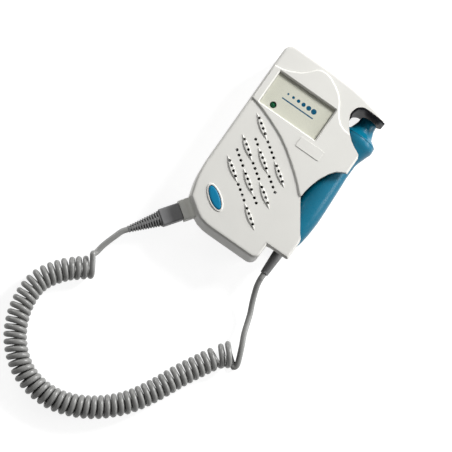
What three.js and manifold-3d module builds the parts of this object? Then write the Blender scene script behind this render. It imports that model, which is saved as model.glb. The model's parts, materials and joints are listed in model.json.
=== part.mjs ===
// Handheld doppler with a pencil probe in a side holster and a curly cord.
// Millimetres. +X to the right, +Y towards the top end, +Z out of the front face.
// The origin lies on the back face, in the middle of the housing.
import * as THREE from 'three';
import { mergeVertices } from 'three/addons/utils/BufferGeometryUtils.js';
import Module from 'manifold-3d';

const wasm = await Module();
wasm.setup();

// Driving dimensions
const overrun = 2;
const gap = 0.3;
const postSides = 12;

const housing = {
  width: 83.4, length: 137, depth: 31.5, wall: 2.2, parting: 13.5,
  frontRound: 2.6, backRoundWide: 5, backRoundDeep: 8,
  topCorner: 7, lobeCorner: 5.5, tipCorner: 1.5, leastCorner: 0.4,
  lobeGap: 9.55, lobeRise: 12.9, roundSteps: 3, arcSteps: 5,
};
const halfWidth = housing.width / 2;
const halfLength = housing.length / 2;
const ceiling = housing.depth - housing.wall;
const stepY = -halfLength + housing.lobeRise;

// A piece whose middle keeps its share of half the width and half the length
const placed = (sizes) => ({ ...sizes, x: sizes.xShare * halfWidth, y: sizes.yShare * halfLength });

// Plan points as shares of half the width and half the length
const topEdgeShares = [[1, 0.91], [0.75, 0.945], [0.48, 0.975], [0.25, 0.99], [-0.1, 1], [-0.6, 1]];

// The lower left corner, its points as shares of its own width and height, from the outer corner
const lowCorner = {
  width: 30, height: 37, seatXShare: 0.3367, seatYShare: 0.1973, buttonXShare: 0.6433, buttonYShare: 0.5162,
};
const leftCurveShares = [[0, 1], [0.0139, 0.8146], [0.0487, 0.6203], [0.1043, 0.4628]];
const seatToBaseShares = [[0.6533, 0.037], [0.834, 0.0055], [1, 0]];

const plateau = { rise: 1.3, bead: 1.4, overhang: 0.7 };
const plateauTop = housing.depth + plateau.rise;
const plateauArchShares = [
  [-1, 0.72], [-0.925, 0.725], [-0.83, 0.735], [-0.71, 0.76], [-0.55, 0.81], [-0.45, 0.867], [-0.37, 0.925],
  [-0.29, 0.95], [-0.19, 0.952], [-0.09, 0.937], [0.02, 0.902], [0.135, 0.857], [0.233, 0.795], [0.3, 0.725],
  [0.38, 0.654], [0.46, 0.609], [0.56, 0.584], [1.1, 0.577],
];
const plateauFootShares = [
  [1.1, -0.24], [0.567, -0.226], [0.51, -0.196], [0.43, -0.145], [0.265, -0.058], [0.1, 0.018],
  [-0.06, 0.088], [-0.224, 0.149], [-0.387, 0.194], [-0.55, 0.235], [-0.71, 0.27], [-0.876, 0.3],
  [-1, 0.315],
];

// The cut at the top right, open through the whole housing, and the front's finger scallop
const hookCutShares = [
  [1.04, 0.879], [0.917, 0.884], [0.754, 0.889], [0.64, 0.889], [0.575, 0.874], [0.525, 0.848],
  [0.494, 0.807], [0.484, 0.756], [0.51, 0.714],
];
const bayCutShares = [
  [0.51, 0.714], [0.558, 0.664], [0.606, 0.623], [0.672, 0.572], [0.754, 0.527], [0.835, 0.496],
  [0.917, 0.472], [0.966, 0.455], [1, 0.43], [1.04, 0.415],
];
const scallopShares = [
  [1.04, 0.245], [0.966, 0.235], [0.917, 0.22], [0.835, 0.19], [0.754, 0.13], [0.672, 0.03], [0.623, -0.07],
  [0.6, -0.143], [0.591, -0.223],
];
const scallopSlopeShares = [[0.607, -0.24], [0.754, -0.375], [0.917, -0.522], [0.983, -0.568], [1.04, -0.68]];

const hookTop = Math.max(...hookCutShares.map(([, y]) => y)) * halfLength;
const holster = { inset: 7.5, tipGap: 2.9, foot: 3.4, backStep: 6 };
const probe = {
  axisX: halfWidth - holster.inset, axisZ: 16.2, collar: 13.6, tipY: hookTop - holster.tipGap,
  endY: stepY + holster.foot, wall: 1.6, sides: 18, capDepth: 1.2, faceRadius: 4.6, tipWall: 2.4,
  endWall: 2.4, barrelShare: 0.765, waistShare: 0.662,
};
const probeLength = probe.tipY - probe.endY;
const barrel = probe.barrelShare * probe.collar;
const lobeRight = probe.axisX - housing.lobeGap;
// Stations along the probe, each a share of its length from the tip and a share of the collar's radius
const probeStationShares = [
  [0, 0.4], [0.007, 0.441], [0.04, 0.47], [0.071, 0.575], [0.09, 0.655], [0.101, 0.745], [0.114, 0.875],
  [0.129, 0.963], [0.147, 1], [0.17, 0.985], [0.194, 0.91], [0.225, 0.816], [0.256, 0.728], [0.286, 0.676],
  [0.372, 0.662], [0.502, 0.713], [0.624, 0.75], [0.717, 0.765], [0.809, 0.721], [0.871, 0.654],
  [0.926, 0.551], [0.97, 0.412], [1, 0.285],
];
const probeStrain = { radius: 3.7, tip: 2.8, length: 17.5, flange: 1.3, neck: 2.4 };
const probeBoard = { clear: 0.45, length: 52, thick: 1.2, fromTip: 50 };
const transducer = { crystal: 0.8, radius: 4.2, split: 0.6, backing: 6, bond: 0.3, dome: 0.4 };

// The holster's lower channel clears the probe's barrel, its upper bay clears the collar
const pocket = { clear: 0.8, rightReach: 5.8, round: 8, liner: 1.2, topGap: 1.1 };
const bay = { clear: 0.8, floorClear: 0.4, roofClear: 0.5, bottomShare: 0.2265 };
const pocketHalf = barrel + pocket.clear;
const pocketLeft = probe.axisX - pocketHalf;
const pocketRight = probe.axisX + pocket.rightReach;
const bayLeft = probe.axisX - probe.collar - bay.clear;
const bayFloor = probe.axisZ - probe.collar - bay.floorClear;
const bayRoof = probe.axisZ + probe.collar + bay.roofClear;
const bayBottom = probe.tipY - bay.bottomShare * probeLength;
const pocketTop = bayBottom - pocket.topGap;
const pocketLeftWall = pocketLeft - pocket.liner - housing.wall;
const bayLeftWall = bayLeft - housing.wall;
const hookLiner = { thick: 1.1, recess: 0.3, seat: 0.3, cutWidth: 7.5, cutHeight: 17 };

const recess = placed({
  xShare: -0.2938, yShare: 0.511, width: 45.9, height: 25.4, depth: 1.9, bevel: 1.2, pad: 2.2, rim: 3,
});
const recessFloor = housing.depth - recess.depth;
const recessLeft = recess.x - recess.width / 2;
const recessRight = recess.x + recess.width / 2;
const recessLow = recess.y - recess.height / 2;
const recessTop = recess.y + recess.height / 2;
const card = { thick: 0.5, fit: 0.3 };
const lens = { thick: 1.2 };
const lampInset = { x: 9.05, y: 4 };
const recessHole = { width: 38, height: 17, rise: 1.5 };
const lamp = {
  x: recessLeft + lampInset.x, y: recessLow + lampInset.y, radius: 2.1, base: 2.7, baseHeight: 1, hole: 0.3,
  rise: 0.2, sides: 16,
};
const plate = placed({ xShare: 0.2686, yShare: 0.2204, width: 18.7, height: 7.6, thick: 0.4, corner: 0.8 });

const slope = Math.atan(0.72);
const grille = placed({
  xShare: -0.6859, yShare: 0.1883, columnPitch: 3.08, groupPitch: 14.04, rowPitch: 8.9, hole: 1.15,
  holeSides: 6, rows: 5, groups: 3, holesInGroup: 4,
});
const pod = { length: 20.6, width: 3.5, rise: 0.8, drop: 0.45, points: 6, topShare: 0.72 };
// Row by row, the columns that have a hole, and the groups that stand on a raised pod
const rowColumns = [[0, 11], [2, 11], [0, 11], [0, 9], [0, 11]];
const rowPods = [[0, 2], [1], [0, 2], [1], [0, 2]];

const button = {
  x: -halfWidth + lowCorner.buttonXShare * lowCorner.width,
  y: -halfLength + lowCorner.buttonYShare * lowCorner.height,
  length: 17.3, width: 6.5, proud: 0.9, travel: 0.8, flange: 1.1, flangeThick: 1, stem: 1.8,
  rimLength: 21, rimWidth: 9.6, rimRise: 0.6, sides: 28,
};
const tact = { width: 6.2, height: 3.5, plunger: 1.7, plungerLength: 2.2, bore: 2 };
const switchBoard = { width: 14, height: 18, thick: 1.6, socketGap: 0.45, post: 1.7, postOffset: 7 };

// The speaker sits midway between the left wall and the holster, under the grille
const speaker = {
  x: (housing.wall - halfWidth + pocketLeftWall) / 2, grilleDrop: 30.5, radius: 22.5, ringThick: 1.2,
  depth: 11.4, basketRadius: 14, magnetRadius: 13, boardGap: 1.2, poleRadius: 4, poleRise: 3.7,
  gasket: 0.6, gasketWidth: 2.4, sheet: 0.8, rib: 1.2, ribHeight: 4, sides: 22, windowRadius: 8.6,
  coneSheet: 0.6, domeRadius: 5.4, domeDrop: 3.3, coneDrop: 6.1, surround: 3, coneInset: 3.7,
};
const speakerY = grille.y - speaker.grilleDrop;

const batteryXShare = -0.2638;
const battery = {
  x: batteryXShare * halfWidth, topGap: 5.9, width: 26.5, length: 48.5, height: 17.5, bottom: 3, edge: 1.6,
  terminal: 2.8, smallTerminal: 2.9, largeTerminal: 4.1, terminalSpan: 12.7, smallSides: 12, largeSides: 6,
};
const batteryEnd = halfLength - battery.topGap;
const batteryStart = batteryEnd - battery.length;
const snap = { width: 25, height: 13, thick: 4.4 };
const door = {
  side: 1.75, reach: 3.6, lip: 1.6, lipThick: 1.1, grip: 1, gripCount: 4, gripPitch: 3, travel: 50,
};
const doorThick = 2.2;
const doorWidth = battery.width + 2 * door.side;
const doorBottom = batteryStart - door.reach;

const caseScrew = {
  head: 2.7, headHeight: 2, shank: 1.4, length: 15.5, seat: 5, counterbore: 3, post: 4.4, hole: 1.7,
  headSides: 12, shankSides: 8,
};
const caseScrewPlaceShares = [[-0.7914, 0.8686], [0.283, 0.8686], [-0.8345, -0.5036], [0.4221, -0.8832]];
const caseScrewPlaces = caseScrewPlaceShares.map(([x, y]) => [x * halfWidth, y * halfLength]);

// The lamp board lies over the battery and under the window, between the walls
const lampBoard = {
  leftGap: 3.5, rightGap: 3.1, lowGap: 7.3, topGap: 2.3, batteryGap: 1.5, thick: 1.6, post: 2, postInset: 3,
};
const lampBoardBottom = battery.bottom + battery.height + lampBoard.batteryGap;

// The doppler board lies between two screw posts, the battery and the holster
const dopplerBoard = {
  sideGap: 0.6, lowGap: 1.1, wallGap: 4.6, batteryGap: 6.1, bottom: 8, thick: 1.6, chamferX: 12.4,
  chamferY: 9.8,
};
const dopplerTop = dopplerBoard.bottom + dopplerBoard.thick;
const boardLeft = caseScrewPlaces[2][0] + caseScrew.post + dopplerBoard.sideGap;
const boardRight = pocketLeftWall - dopplerBoard.wallGap;
const boardLow = caseScrewPlaces[3][1] + caseScrew.post + dopplerBoard.lowGap;
const boardEnd = batteryStart - dopplerBoard.batteryGap;
const boardPost = { radius: 2.7, hole: 1.25, foot: 3.4, sides: 12 };
const boardScrew = {
  head: 2.2, headHeight: 1.5, shank: 0.9, length: 5.6, inset: 3.5, chamferInset: 17, headSides: 12,
  shankSides: 8,
};
const boardScrewPlaces = [
  [boardLeft + boardScrew.inset, boardLow + boardScrew.chamferInset],
  [boardRight - boardScrew.inset, boardLow + boardScrew.inset],
  [boardRight - boardScrew.inset, boardEnd - boardScrew.inset],
  [boardLeft + boardScrew.inset, boardEnd - boardScrew.inset],
];
const chipInset = { x: 11.3, y: 19.5 };
const amplifierInset = { x: 4.8, y: 28.2 };
const shieldCan = { width: 22, height: 13, depth: 4, sheet: 0.6, screwGap: 0.8, lowGap: 1.5 };
const canX = boardRight - boardScrew.inset - boardScrew.head - shieldCan.screwGap - shieldCan.width / 2;
const canY = boardLow + shieldCan.lowGap + shieldCan.height / 2;
const processor = { x: boardLeft + chipInset.x, y: boardLow + chipInset.y, size: 9, thick: 1 };
const amplifier = {
  x: boardLeft + amplifierInset.x, y: boardLow + amplifierInset.y, width: 6, height: 5, thick: 0.9,
};
const capacitor = { radius: 3.1, height: 7.5, inset: 4, reach: 11.5, pitch: 7, sides: 12 };
const capacitorPlaces = [0, 1].map(
  (n) => [boardRight - capacitor.inset, speakerY - capacitor.reach - n * capacitor.pitch],
);

// The socket and plug lie on one axis, square to the flat at the lower left corner
const seat = {
  x: -halfWidth + lowCorner.seatXShare * lowCorner.width,
  y: -halfLength + lowCorner.seatYShare * lowCorner.height, halfWidth: 6.4, turn: Math.atan(0.72),
};
const socket = {
  width: 14, height: 10.5, proud: 7.4, inner: 9, cavityWidth: 9.2, cavityHeight: 6.8, cavityFloor: 6,
  flangeWidth: 10, flangeHeight: 12.6, flange: 1.6, round: 0.9,
};
const flangeNear = housing.wall + gap;
const switchBoardTop = housing.parting + socket.height / 2 + switchBoard.socketGap + switchBoard.thick;
const contact = { base: 1, pin: 0.8, pins: 3, pitch: 2.2, rowRise: 1.35, reach: 6.6 };
const plug = {
  width: 11.8, height: 9.6, length: 14.6, standOff: 0.3, noseLength: 11.5, round: 1.1,
  hollowWidth: 6.8, hollowHeight: 4.6, hollowDepth: 8, tongueWidth: 5.6, tongueThick: 0.9, tongueLength: 7,
};
const plugStrain = {
  start: 5.4, end: 2.3, length: 22.6, ribs: 12, plainTip: 1.2, groove: 0.75, flat: 0.86, sides: 10,
};
const pullOut = 12;

// The cord
const wire = 4;
const coil = {
  radius: 6.1, firstGrow: 1.3, growTo: 2.2, pitch: 4.6, wideFrom: 16, steps: 8, sides: 5, curls: 56,
  startTurn: 270, endTurn: 90, lateGap: 2.2, gapFrom: 1.3, gapTo: 2.5,
};
const coilAxis = [
  [47.2, -126.8], [42.2, -131.9], [38.4, -137.4], [34.3, -144.8], [26.3, -160], [18.7, -176.6],
  [6.9, -195.6], [-12.3, -212.3], [-35.1, -220.7], [-58.6, -217.5], [-77, -203], [-87, -181.6],
  [-87.2, -160.9], [-77.2, -144.4], [-70.4, -138.2], [-63.5, -132.5],
];
const probeLeadRoute = [
  [34.2, -74, 16.1], [34.9, -78.6, 14], [36.8, -84.2, 11], [39.2, -90, 8.6], [42, -96.2, 7.2],
  [44.2, -103, 7.4], [46.4, -110, 8], [50.2, -118.4, 7.2], [52.8, -124.4, 5.4], [54.4, -128.4, 3.6],
  [54.6, -130.8, 2.4], [53.4, -132.2, 2],
];
const plugLeadRoute = [[-62.5, -106.8, 13.2], [-65.4, -116.2, 12.8], [-66.8, -124, 13.2]];
const lead = { sides: 8, probeSteps: 36, plugSteps: 14 };

// Finishes
const finish = (color, roughness, metalness = 0) => (
  new THREE.MeshStandardMaterial({ color, roughness, metalness })
);
const finishes = {
  shell: () => finish(0xd6d5d0, 0.45), charcoal: () => finish(0x1e1c20, 0.5),
  boss: () => finish(0xaaaaa5, 0.5), probe: () => finish(0x147da5, 0.3),
  button: () => finish(0x0078aa, 0.3), card: () => finish(0xd7d7c8, 0.6),
  lens: () => finish(0xe6ebe6, 0.08), lamp: () => finish(0x0b5a32, 0.2),
  board: () => finish(0x1f6b3a, 0.5), steel: () => finish(0xb4b6b8, 0.35, 1),
  brass: () => finish(0xc8a35a, 0.35, 1), chip: () => finish(0x202022, 0.5),
  plug: () => finish(0x5f5f5f, 0.55), wire: () => finish(0x8c8c8a, 0.55),
  paper: () => finish(0x3a3a3c, 0.9), magnet: () => finish(0x55575a, 0.5),
  ceramic: () => finish(0xd8cfb8, 0.4), cell: () => finish(0x3c4a5e, 0.4),
  foam: () => finish(0x2e2e30, 0.95), faceGrey: () => finish(0x9aa0a2, 0.4),
  tin: () => finish(0xc4c6c6, 0.4, 1),
};

// Solids: joins and cuts
function toSolid(geometry) {
  const bare = geometry.clone();
  bare.deleteAttribute('normal');
  bare.deleteAttribute('uv');
  const merged = mergeVertices(bare);
  return new wasm.Manifold(new wasm.Mesh({
    numProp: 3,
    vertProperties: new Float32Array(merged.attributes.position.array),
    triVerts: new Uint32Array(merged.index.array),
  }));
}

function toGeometry(solid) {
  const { vertProperties, triVerts, numProp } = solid.getMesh();
  const positions = new Float32Array((vertProperties.length / numProp) * 3);
  for (let i = 0; i < positions.length / 3; i += 1) {
    positions.set(vertProperties.subarray(i * numProp, i * numProp + 3), i * 3);
  }
  const geometry = new THREE.BufferGeometry();
  geometry.setAttribute('position', new THREE.BufferAttribute(positions, 3));
  geometry.setIndex(new THREE.BufferAttribute(new Uint32Array(triVerts), 1));
  return geometry;
}

const join = (first, ...others) => others.reduce((sum, solid) => sum.add(solid), first);
const cut = (first, ...others) => others.reduce((rest, solid) => rest.subtract(solid), first);

// Basic forms
function block(x0, x1, y0, y1, z0, z1) {
  const geometry = new THREE.BoxGeometry(x1 - x0, y1 - y0, z1 - z0);
  return toSolid(geometry.translate((x0 + x1) / 2, (y0 + y1) / 2, (z0 + z1) / 2));
}

function centredBlock(x, y, width, height, z0, z1) {
  return block(x - width / 2, x + width / 2, y - height / 2, y + height / 2, z0, z1);
}

function pillar(x, y, radius, z0, z1, sides = 14) {
  const geometry = new THREE.CylinderGeometry(radius, radius, z1 - z0, sides);
  return toSolid(geometry.rotateX(Math.PI / 2).translate(x, y, (z0 + z1) / 2));
}

// A solid through closed rings of equal count, each one a plan outline at its own height
function loft(rings) {
  const count = rings[0].points.length;
  const positions = rings.flatMap(({ points, z }) => points.flatMap((p) => [p.x, p.y, z]));
  const index = [];
  for (let r = 0; r < rings.length - 1; r += 1) {
    for (let i = 0; i < count; i += 1) {
      const j = (i + 1) % count;
      const [a, b, c, d] = [r * count + i, r * count + j, (r + 1) * count + j, (r + 1) * count + i];
      index.push(a, b, c, a, c, d);
    }
  }
  const last = (rings.length - 1) * count;
  const cap = (ring) => THREE.ShapeUtils.triangulateShape(ring.points, []);
  cap(rings[0]).forEach(([a, b, c]) => index.push(a, c, b));
  cap(rings[rings.length - 1]).forEach(([a, b, c]) => index.push(last + a, last + b, last + c));
  const geometry = new THREE.BufferGeometry();
  geometry.setAttribute('position', new THREE.BufferAttribute(new Float32Array(positions), 3));
  geometry.setIndex(index);
  return toSolid(geometry);
}

const prism = (points, z0, z1) => loft([{ points, z: z0 }, { points, z: z1 }]);

// The outline moved inwards by a distance, for outlines that run anticlockwise
function inset(points, distance) {
  return points.map((point, i) => {
    const before = points[(i + points.length - 1) % points.length];
    const after = points[(i + 1) % points.length];
    const a = new THREE.Vector2(before.y - point.y, point.x - before.x).normalize();
    const b = new THREE.Vector2(point.y - after.y, after.x - point.x).normalize();
    const middle = a.clone().add(b).normalize();
    return point.clone().addScaledVector(middle, distance / Math.max(middle.dot(a), 0.5));
  });
}

const shares = (table) => table.map(([x, y]) => new THREE.Vector2(x * halfWidth, y * halfLength));
const smooth = (points, steps) => new THREE.SplineCurve(points).getPoints((points.length - 1) * steps);

function arc(x, y, radius, from, to, steps = housing.arcSteps) {
  const curve = new THREE.EllipseCurve(x, y, radius, radius, from, to, to < from);
  return curve.getPoints(steps);
}

function oval(x, y, length, width, turn, sides) {
  const curve = new THREE.EllipseCurve(0, 0, length / 2, width / 2, 0, Math.PI * 2);
  const centre = new THREE.Vector2(x, y);
  return curve.getPoints(sides).slice(0, sides).map(
    (p) => p.rotateAround(new THREE.Vector2(), turn).add(centre),
  );
}

function roundedRectangle(x, y, width, height, radius, steps = 3) {
  const [dx, dy] = [width / 2 - radius, height / 2 - radius];
  const quarter = Math.PI / 2;
  return [[dx, -dy, -1], [dx, dy, 0], [-dx, dy, 1], [-dx, -dy, 2]].flatMap(
    ([cx, cy, k]) => arc(x + cx, y + cy, radius, k * quarter, (k + 1) * quarter, steps),
  );
}

// A turned solid about the vertical through (x, y)
function turned(profile, sides, x = 0, y = 0) {
  const points = profile.map(([r, h]) => new THREE.Vector2(r, h));
  const geometry = new THREE.LatheGeometry(points, sides);
  return toSolid(geometry.rotateX(Math.PI / 2).translate(x, y, 0));
}

// A turned solid about the probe's axis, its stations given as distances along +Y
function turnedOnProbe(profile, sides = probe.sides) {
  const points = profile.map(([r, y]) => new THREE.Vector2(r, y));
  return toSolid(new THREE.LatheGeometry(points, sides).translate(probe.axisX, 0, probe.axisZ));
}

const nodes = [];
function piece(name, solid, material, parent) {
  const mesh = new THREE.Mesh(solid.isBufferGeometry ? solid : toGeometry(solid), material());
  mesh.name = name;
  parent.add(mesh);
  nodes.push(mesh);
  return mesh;
}

// The housing's outline, anticlockwise from the step beside the lobe, each corner with its radius
const plugAxis = new THREE.Vector2(-Math.sin(seat.turn), -Math.cos(seat.turn));
const seatLine = new THREE.Vector2(-plugAxis.y, plugAxis.x);
const seatCentre = new THREE.Vector2(seat.x, seat.y);
const inCorner = (table) => table.map(
  ([x, y]) => new THREE.Vector2(x * lowCorner.width - halfWidth, y * lowCorner.height - halfLength),
);
const corner = (x, y, radius) => ({ point: new THREE.Vector2(x, y), radius });
const plain = (points) => points.map((point) => ({ point, radius: 0 }));
const outlineCorners = [
  corner(lobeRight, stepY, 0),
  corner(halfWidth, stepY, housing.tipCorner),
  ...plain(shares(topEdgeShares)),
  corner(-halfWidth, halfLength, housing.topCorner),
  ...plain(inCorner(leftCurveShares)),
  ...plain([
    seatCentre.clone().addScaledVector(seatLine, -seat.halfWidth),
    seatCentre.clone().addScaledVector(seatLine, seat.halfWidth),
  ]),
  ...plain(inCorner(seatToBaseShares)),
  corner(lobeRight, -halfLength, housing.lobeCorner),
];

// The outline moved inwards by a distance, its corners rounded by what is left of their radius
function outlineAt(distance) {
  const moved = inset(outlineCorners.map(({ point }) => point), distance);
  return moved.flatMap((point, i) => {
    const { radius } = outlineCorners[i];
    if (radius === 0) {
      return [point];
    }
    const left = Math.max(radius - distance, housing.leastCorner);
    const arriving = point.clone().sub(moved[(i + moved.length - 1) % moved.length]).normalize();
    const leaving = moved[(i + 1) % moved.length].clone().sub(point).normalize();
    const turn = Math.acos(arriving.dot(leaving));
    const start = point.clone().addScaledVector(arriving, -left * Math.tan(turn / 2));
    const centre = start.clone().add(new THREE.Vector2(-arriving.y, arriving.x).multiplyScalar(left));
    return Array.from({ length: housing.arcSteps + 1 }, (_, k) => (
      start.clone().rotateAround(centre, (turn * k) / housing.arcSteps)
    ));
  });
}

// Rings that round an edge over, from the wall to the face
function roundedRings(wallInset, wide, deep, faceZ, direction) {
  const rings = [];
  for (let k = 0; k <= housing.roundSteps; k += 1) {
    const angle = (k / housing.roundSteps) * (Math.PI / 2);
    const z = faceZ + direction * deep * (Math.sin(angle) - 1);
    rings.push({ points: outlineAt(wallInset + wide * (1 - Math.cos(angle))), z });
  }
  return rings;
}

// The hollow left inside a shell by its outline, kept clear of the holster
function cavityIn(rings, z0, z1) {
  const whole = loft(rings);
  const upper = block(-housing.width, bayLeftWall, -housing.length, housing.length, z0, z1);
  const lower = block(-housing.width, pocketLeftWall, -housing.length, bayBottom - housing.wall, z0, z1);
  const lobeRoom = block(
    -housing.width, lobeRight - housing.wall, -housing.length, stepY - housing.wall, z0, z1,
  );
  return whole.intersect(join(upper, lower, lobeRoom));
}

// The holster's channel, open to the right and at the bottom
function channel(grow, y0, y1, right) {
  const round = pocket.round + grow;
  const left = pocketLeft - grow;
  const half = pocketHalf + grow;
  const quarter = Math.PI / 2;
  const section = [
    ...arc(left + round, half - round, round, quarter, 2 * quarter, 4),
    ...arc(left + round, round - half, round, 2 * quarter, 3 * quarter, 4),
    new THREE.Vector2(right, -half),
    new THREE.Vector2(right, half),
  ];
  const geometry = toGeometry(prism(section, y0, y1));
  return toSolid(geometry.rotateX(Math.PI / 2).translate(0, y0 + y1, probe.axisZ));
}

const through = [-overrun, plateauTop + overrun];
const hookCurve = smooth(shares(hookCutShares), 2);
const cutCurve = [...hookCurve, ...smooth(shares(bayCutShares), 1).slice(1)];
const topCut = prism(cutCurve, ...through);
const scallop = prism(
  [...smooth(shares(scallopShares), 1), ...shares(scallopSlopeShares)], housing.parting, plateauTop + overrun,
);
const bayRoom = block(bayLeft, housing.width, bayBottom, hookCurve[4].y, bayFloor, bayRoof);
const channelRoom = join(
  channel(pocket.liner, stepY, bayBottom + overrun, housing.width),
  channel(pocket.liner, -housing.length, bayBottom, housing.width).intersect(block(
    lobeRight, housing.width, -housing.length, bayBottom, 0, housing.depth,
  )),
);

// The holster's back ends above its front
const backStep = block(
  lobeRight, housing.width, -housing.length, stepY + holster.backStep, -overrun, housing.parting,
);

function socketForm(width, height, from, to, round) {
  const rectangle = roundedRectangle(0, 0, width, height, round);
  return prism(rectangle, from, to);
}

// Turns a form built along +Z so that it runs out along the plug's axis from the seat
function onPlugAxis(solid) {
  const geometry = toGeometry(solid).rotateX(Math.PI / 2).rotateZ(-seat.turn);
  return toSolid(geometry.translate(seat.x, seat.y, housing.parting));
}

const socketNotch = onPlugAxis(socketForm(
  socket.width + 2 * gap, socket.height + 2 * gap, -flangeNear - overrun, socket.proud, socket.round + gap,
));

const screwPosts = (z0, z1) => caseScrewPlaces.map(([x, y]) => pillar(x, y, caseScrew.post, z0, z1));

// Front shell
function frontShell() {
  const wall = { points: outlineAt(0), z: housing.parting };
  const rings = roundedRings(0, housing.frontRound, housing.frontRound, housing.depth, 1);
  const raised = [...shares(plateauFootShares), ...shares(plateauArchShares)].reverse();
  const inside = inset(raised, plateau.bead);
  const raisedForm = loft([
    { points: raised, z: housing.depth - plateau.rise },
    { points: raised, z: housing.depth },
    { points: inset(raised, plateau.bead / 2), z: plateauTop - plateau.rise / 5 },
    { points: inside, z: plateauTop },
  ]);
  const footprint = loft([
    { points: outlineAt(plateau.overhang), z: housing.parting },
    { points: outlineAt(plateau.overhang), z: housing.depth },
    { points: outlineAt(housing.frontRound), z: plateauTop + overrun },
  ]);
  const outer = join(loft([wall, ...rings]), raisedForm.intersect(footprint), ...pods(), buttonRim());
  const innerRings = [
    { points: outlineAt(housing.wall), z: housing.parting - overrun },
    { points: outlineAt(housing.wall), z: ceiling - housing.frontRound / 2 },
    { points: outlineAt(housing.wall + housing.frontRound / 2), z: ceiling },
  ];
  const hollow = cavityIn(innerRings, housing.parting - overrun, ceiling);
  const roofMiddle = ceiling + housing.wall / 2;
  const straight = [housing.parting, roofMiddle].map((z) => ({ points: outlineAt(housing.wall), z }));
  const fittings = join(
    windowPad(), speakerRib(), ...screwPosts(housing.parting, roofMiddle), ...lampPosts(), ...switchPosts(),
  ).intersect(cavityIn(straight, housing.parting, roofMiddle));
  return cut(
    join(cut(outer, hollow), fittings), topCut, scallop, bayRoom, channelRoom, socketNotch, recessRoom(),
    buttonHole(), grilleHoles(),
    ...screwHoles(housing.parting - overrun, caseScrew.seat + caseScrew.length + gap),
  );
}

function podAt(row, group) {
  const middle = group * grille.groupPitch + ((grille.holesInGroup - 1) / 2) * grille.columnPitch;
  const x = grille.x + middle;
  const y = grille.y - middle * Math.tan(slope) - row * grille.rowPitch - pod.drop;
  const curve = [];
  const half = pod.length / 2;
  for (let side = 1; side >= -1; side -= 2) {
    for (let i = 0; i < pod.points; i += 1) {
      const along = side * half * (1 - (2 * i) / pod.points);
      const bulge = (pod.width / 2) * (1 - (along / half) ** 2);
      curve.push(new THREE.Vector2(along, side * bulge));
    }
  }
  const centre = new THREE.Vector2(x, y);
  const place = (factor) => curve.map(({ x: px, y: py }) => (
    new THREE.Vector2(px * factor, py * factor).rotateAround(new THREE.Vector2(), -slope).add(centre)
  ));
  return loft([
    { points: place(1), z: housing.depth - pod.rise }, { points: place(1), z: housing.depth },
    { points: place(pod.topShare), z: housing.depth + pod.rise },
  ]);
}

function pods() {
  return rowPods.flatMap((groups, row) => groups.map((group) => podAt(row, group)));
}

function grilleHoles() {
  const holes = [];
  rowColumns.forEach(([first, last], row) => {
    for (let column = first; column <= last; column += 1) {
      const group = Math.floor(column / grille.holesInGroup);
      const across = group * grille.groupPitch + (column % grille.holesInGroup) * grille.columnPitch;
      const y = grille.y - across * Math.tan(slope) - row * grille.rowPitch;
      const [z0, z1] = [ceiling - overrun, plateauTop + overrun];
      holes.push(pillar(grille.x + across, y, grille.hole, z0, z1, grille.holeSides));
    }
  });
  return join(...holes);
}

function buttonRim() {
  const foot = oval(button.x, button.y, button.rimLength, button.rimWidth, -slope, button.sides);
  return loft([
    { points: foot, z: housing.depth - button.rimRise }, { points: foot, z: housing.depth },
    { points: inset(foot, button.rimRise), z: housing.depth + button.rimRise },
  ]);
}

function buttonHole() {
  const [length, width] = [button.length + 2 * gap, button.width + 2 * gap];
  const edge = oval(button.x, button.y, length, width, -slope, button.sides);
  return prism(edge, ceiling - overrun, plateauTop + overrun);
}

function windowPad() {
  const { x: centreX, y: centreY, width, height, rim, pad } = recess;
  const floor = recessFloor;
  return centredBlock(centreX, centreY, width + 2 * rim, height + 2 * rim, floor - pad, floor);
}

function recessRoom() {
  const { x: centreX, y: centreY, width, height, bevel, pad } = recess;
  const floor = recessFloor;
  const corner = gap;
  const low = roundedRectangle(centreX, centreY, width, height, corner, 2);
  const high = inset(low, -bevel);
  const rise = plateauTop - bevel;
  const room = loft([
    { points: low, z: floor }, { points: low, z: rise }, { points: high, z: plateauTop + gap },
  ]);
  const opening = centredBlock(
    centreX, centreY + recessHole.rise, recessHole.width, recessHole.height,
    floor - pad - overrun, floor + gap,
  );
  const lampHole = pillar(lamp.x, lamp.y, lamp.base + lamp.hole, floor - pad - overrun, floor + gap);
  return join(room, opening, lampHole);
}

function speakerRib() {
  const inner = speaker.radius + gap;
  const profile = [
    [inner, ceiling - speaker.ribHeight], [inner + speaker.rib, ceiling - speaker.ribHeight],
    [inner + speaker.rib, ceiling + housing.wall / 2], [inner, ceiling + housing.wall / 2],
    [inner, ceiling - speaker.ribHeight],
  ];
  return turned(profile, speaker.sides, speaker.x, speakerY);
}

const lampBoardTop = lampBoardBottom + lampBoard.thick;
const lampBoardEdges = {
  left: housing.wall - halfWidth + lampBoard.leftGap, right: bayLeftWall - lampBoard.rightGap,
  low: recessLow - lampBoard.lowGap, end: recessTop + lampBoard.topGap,
};
function lampPosts() {
  const { postInset, post } = lampBoard;
  const { left, right, low, end } = lampBoardEdges;
  const places = [left + postInset, right - postInset].flatMap(
    (x) => [low + postInset, end - postInset].map((y) => [x, y]),
  );
  return places.map(([x, y]) => pillar(x, y, post, lampBoardTop, ceiling + housing.wall / 2, postSides));
}

function switchPosts() {
  return [-1, 1].map((side) => {
    const x = button.x + side * switchBoard.postOffset * Math.sin(slope);
    const y = button.y + side * switchBoard.postOffset * Math.cos(slope);
    return pillar(x, y, switchBoard.post, switchBoardTop, ceiling + housing.wall / 2, postSides);
  });
}

const screwHoles = (z0, z1) => caseScrewPlaces.map(([x, y]) => pillar(x, y, caseScrew.hole, z0, z1));

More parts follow.
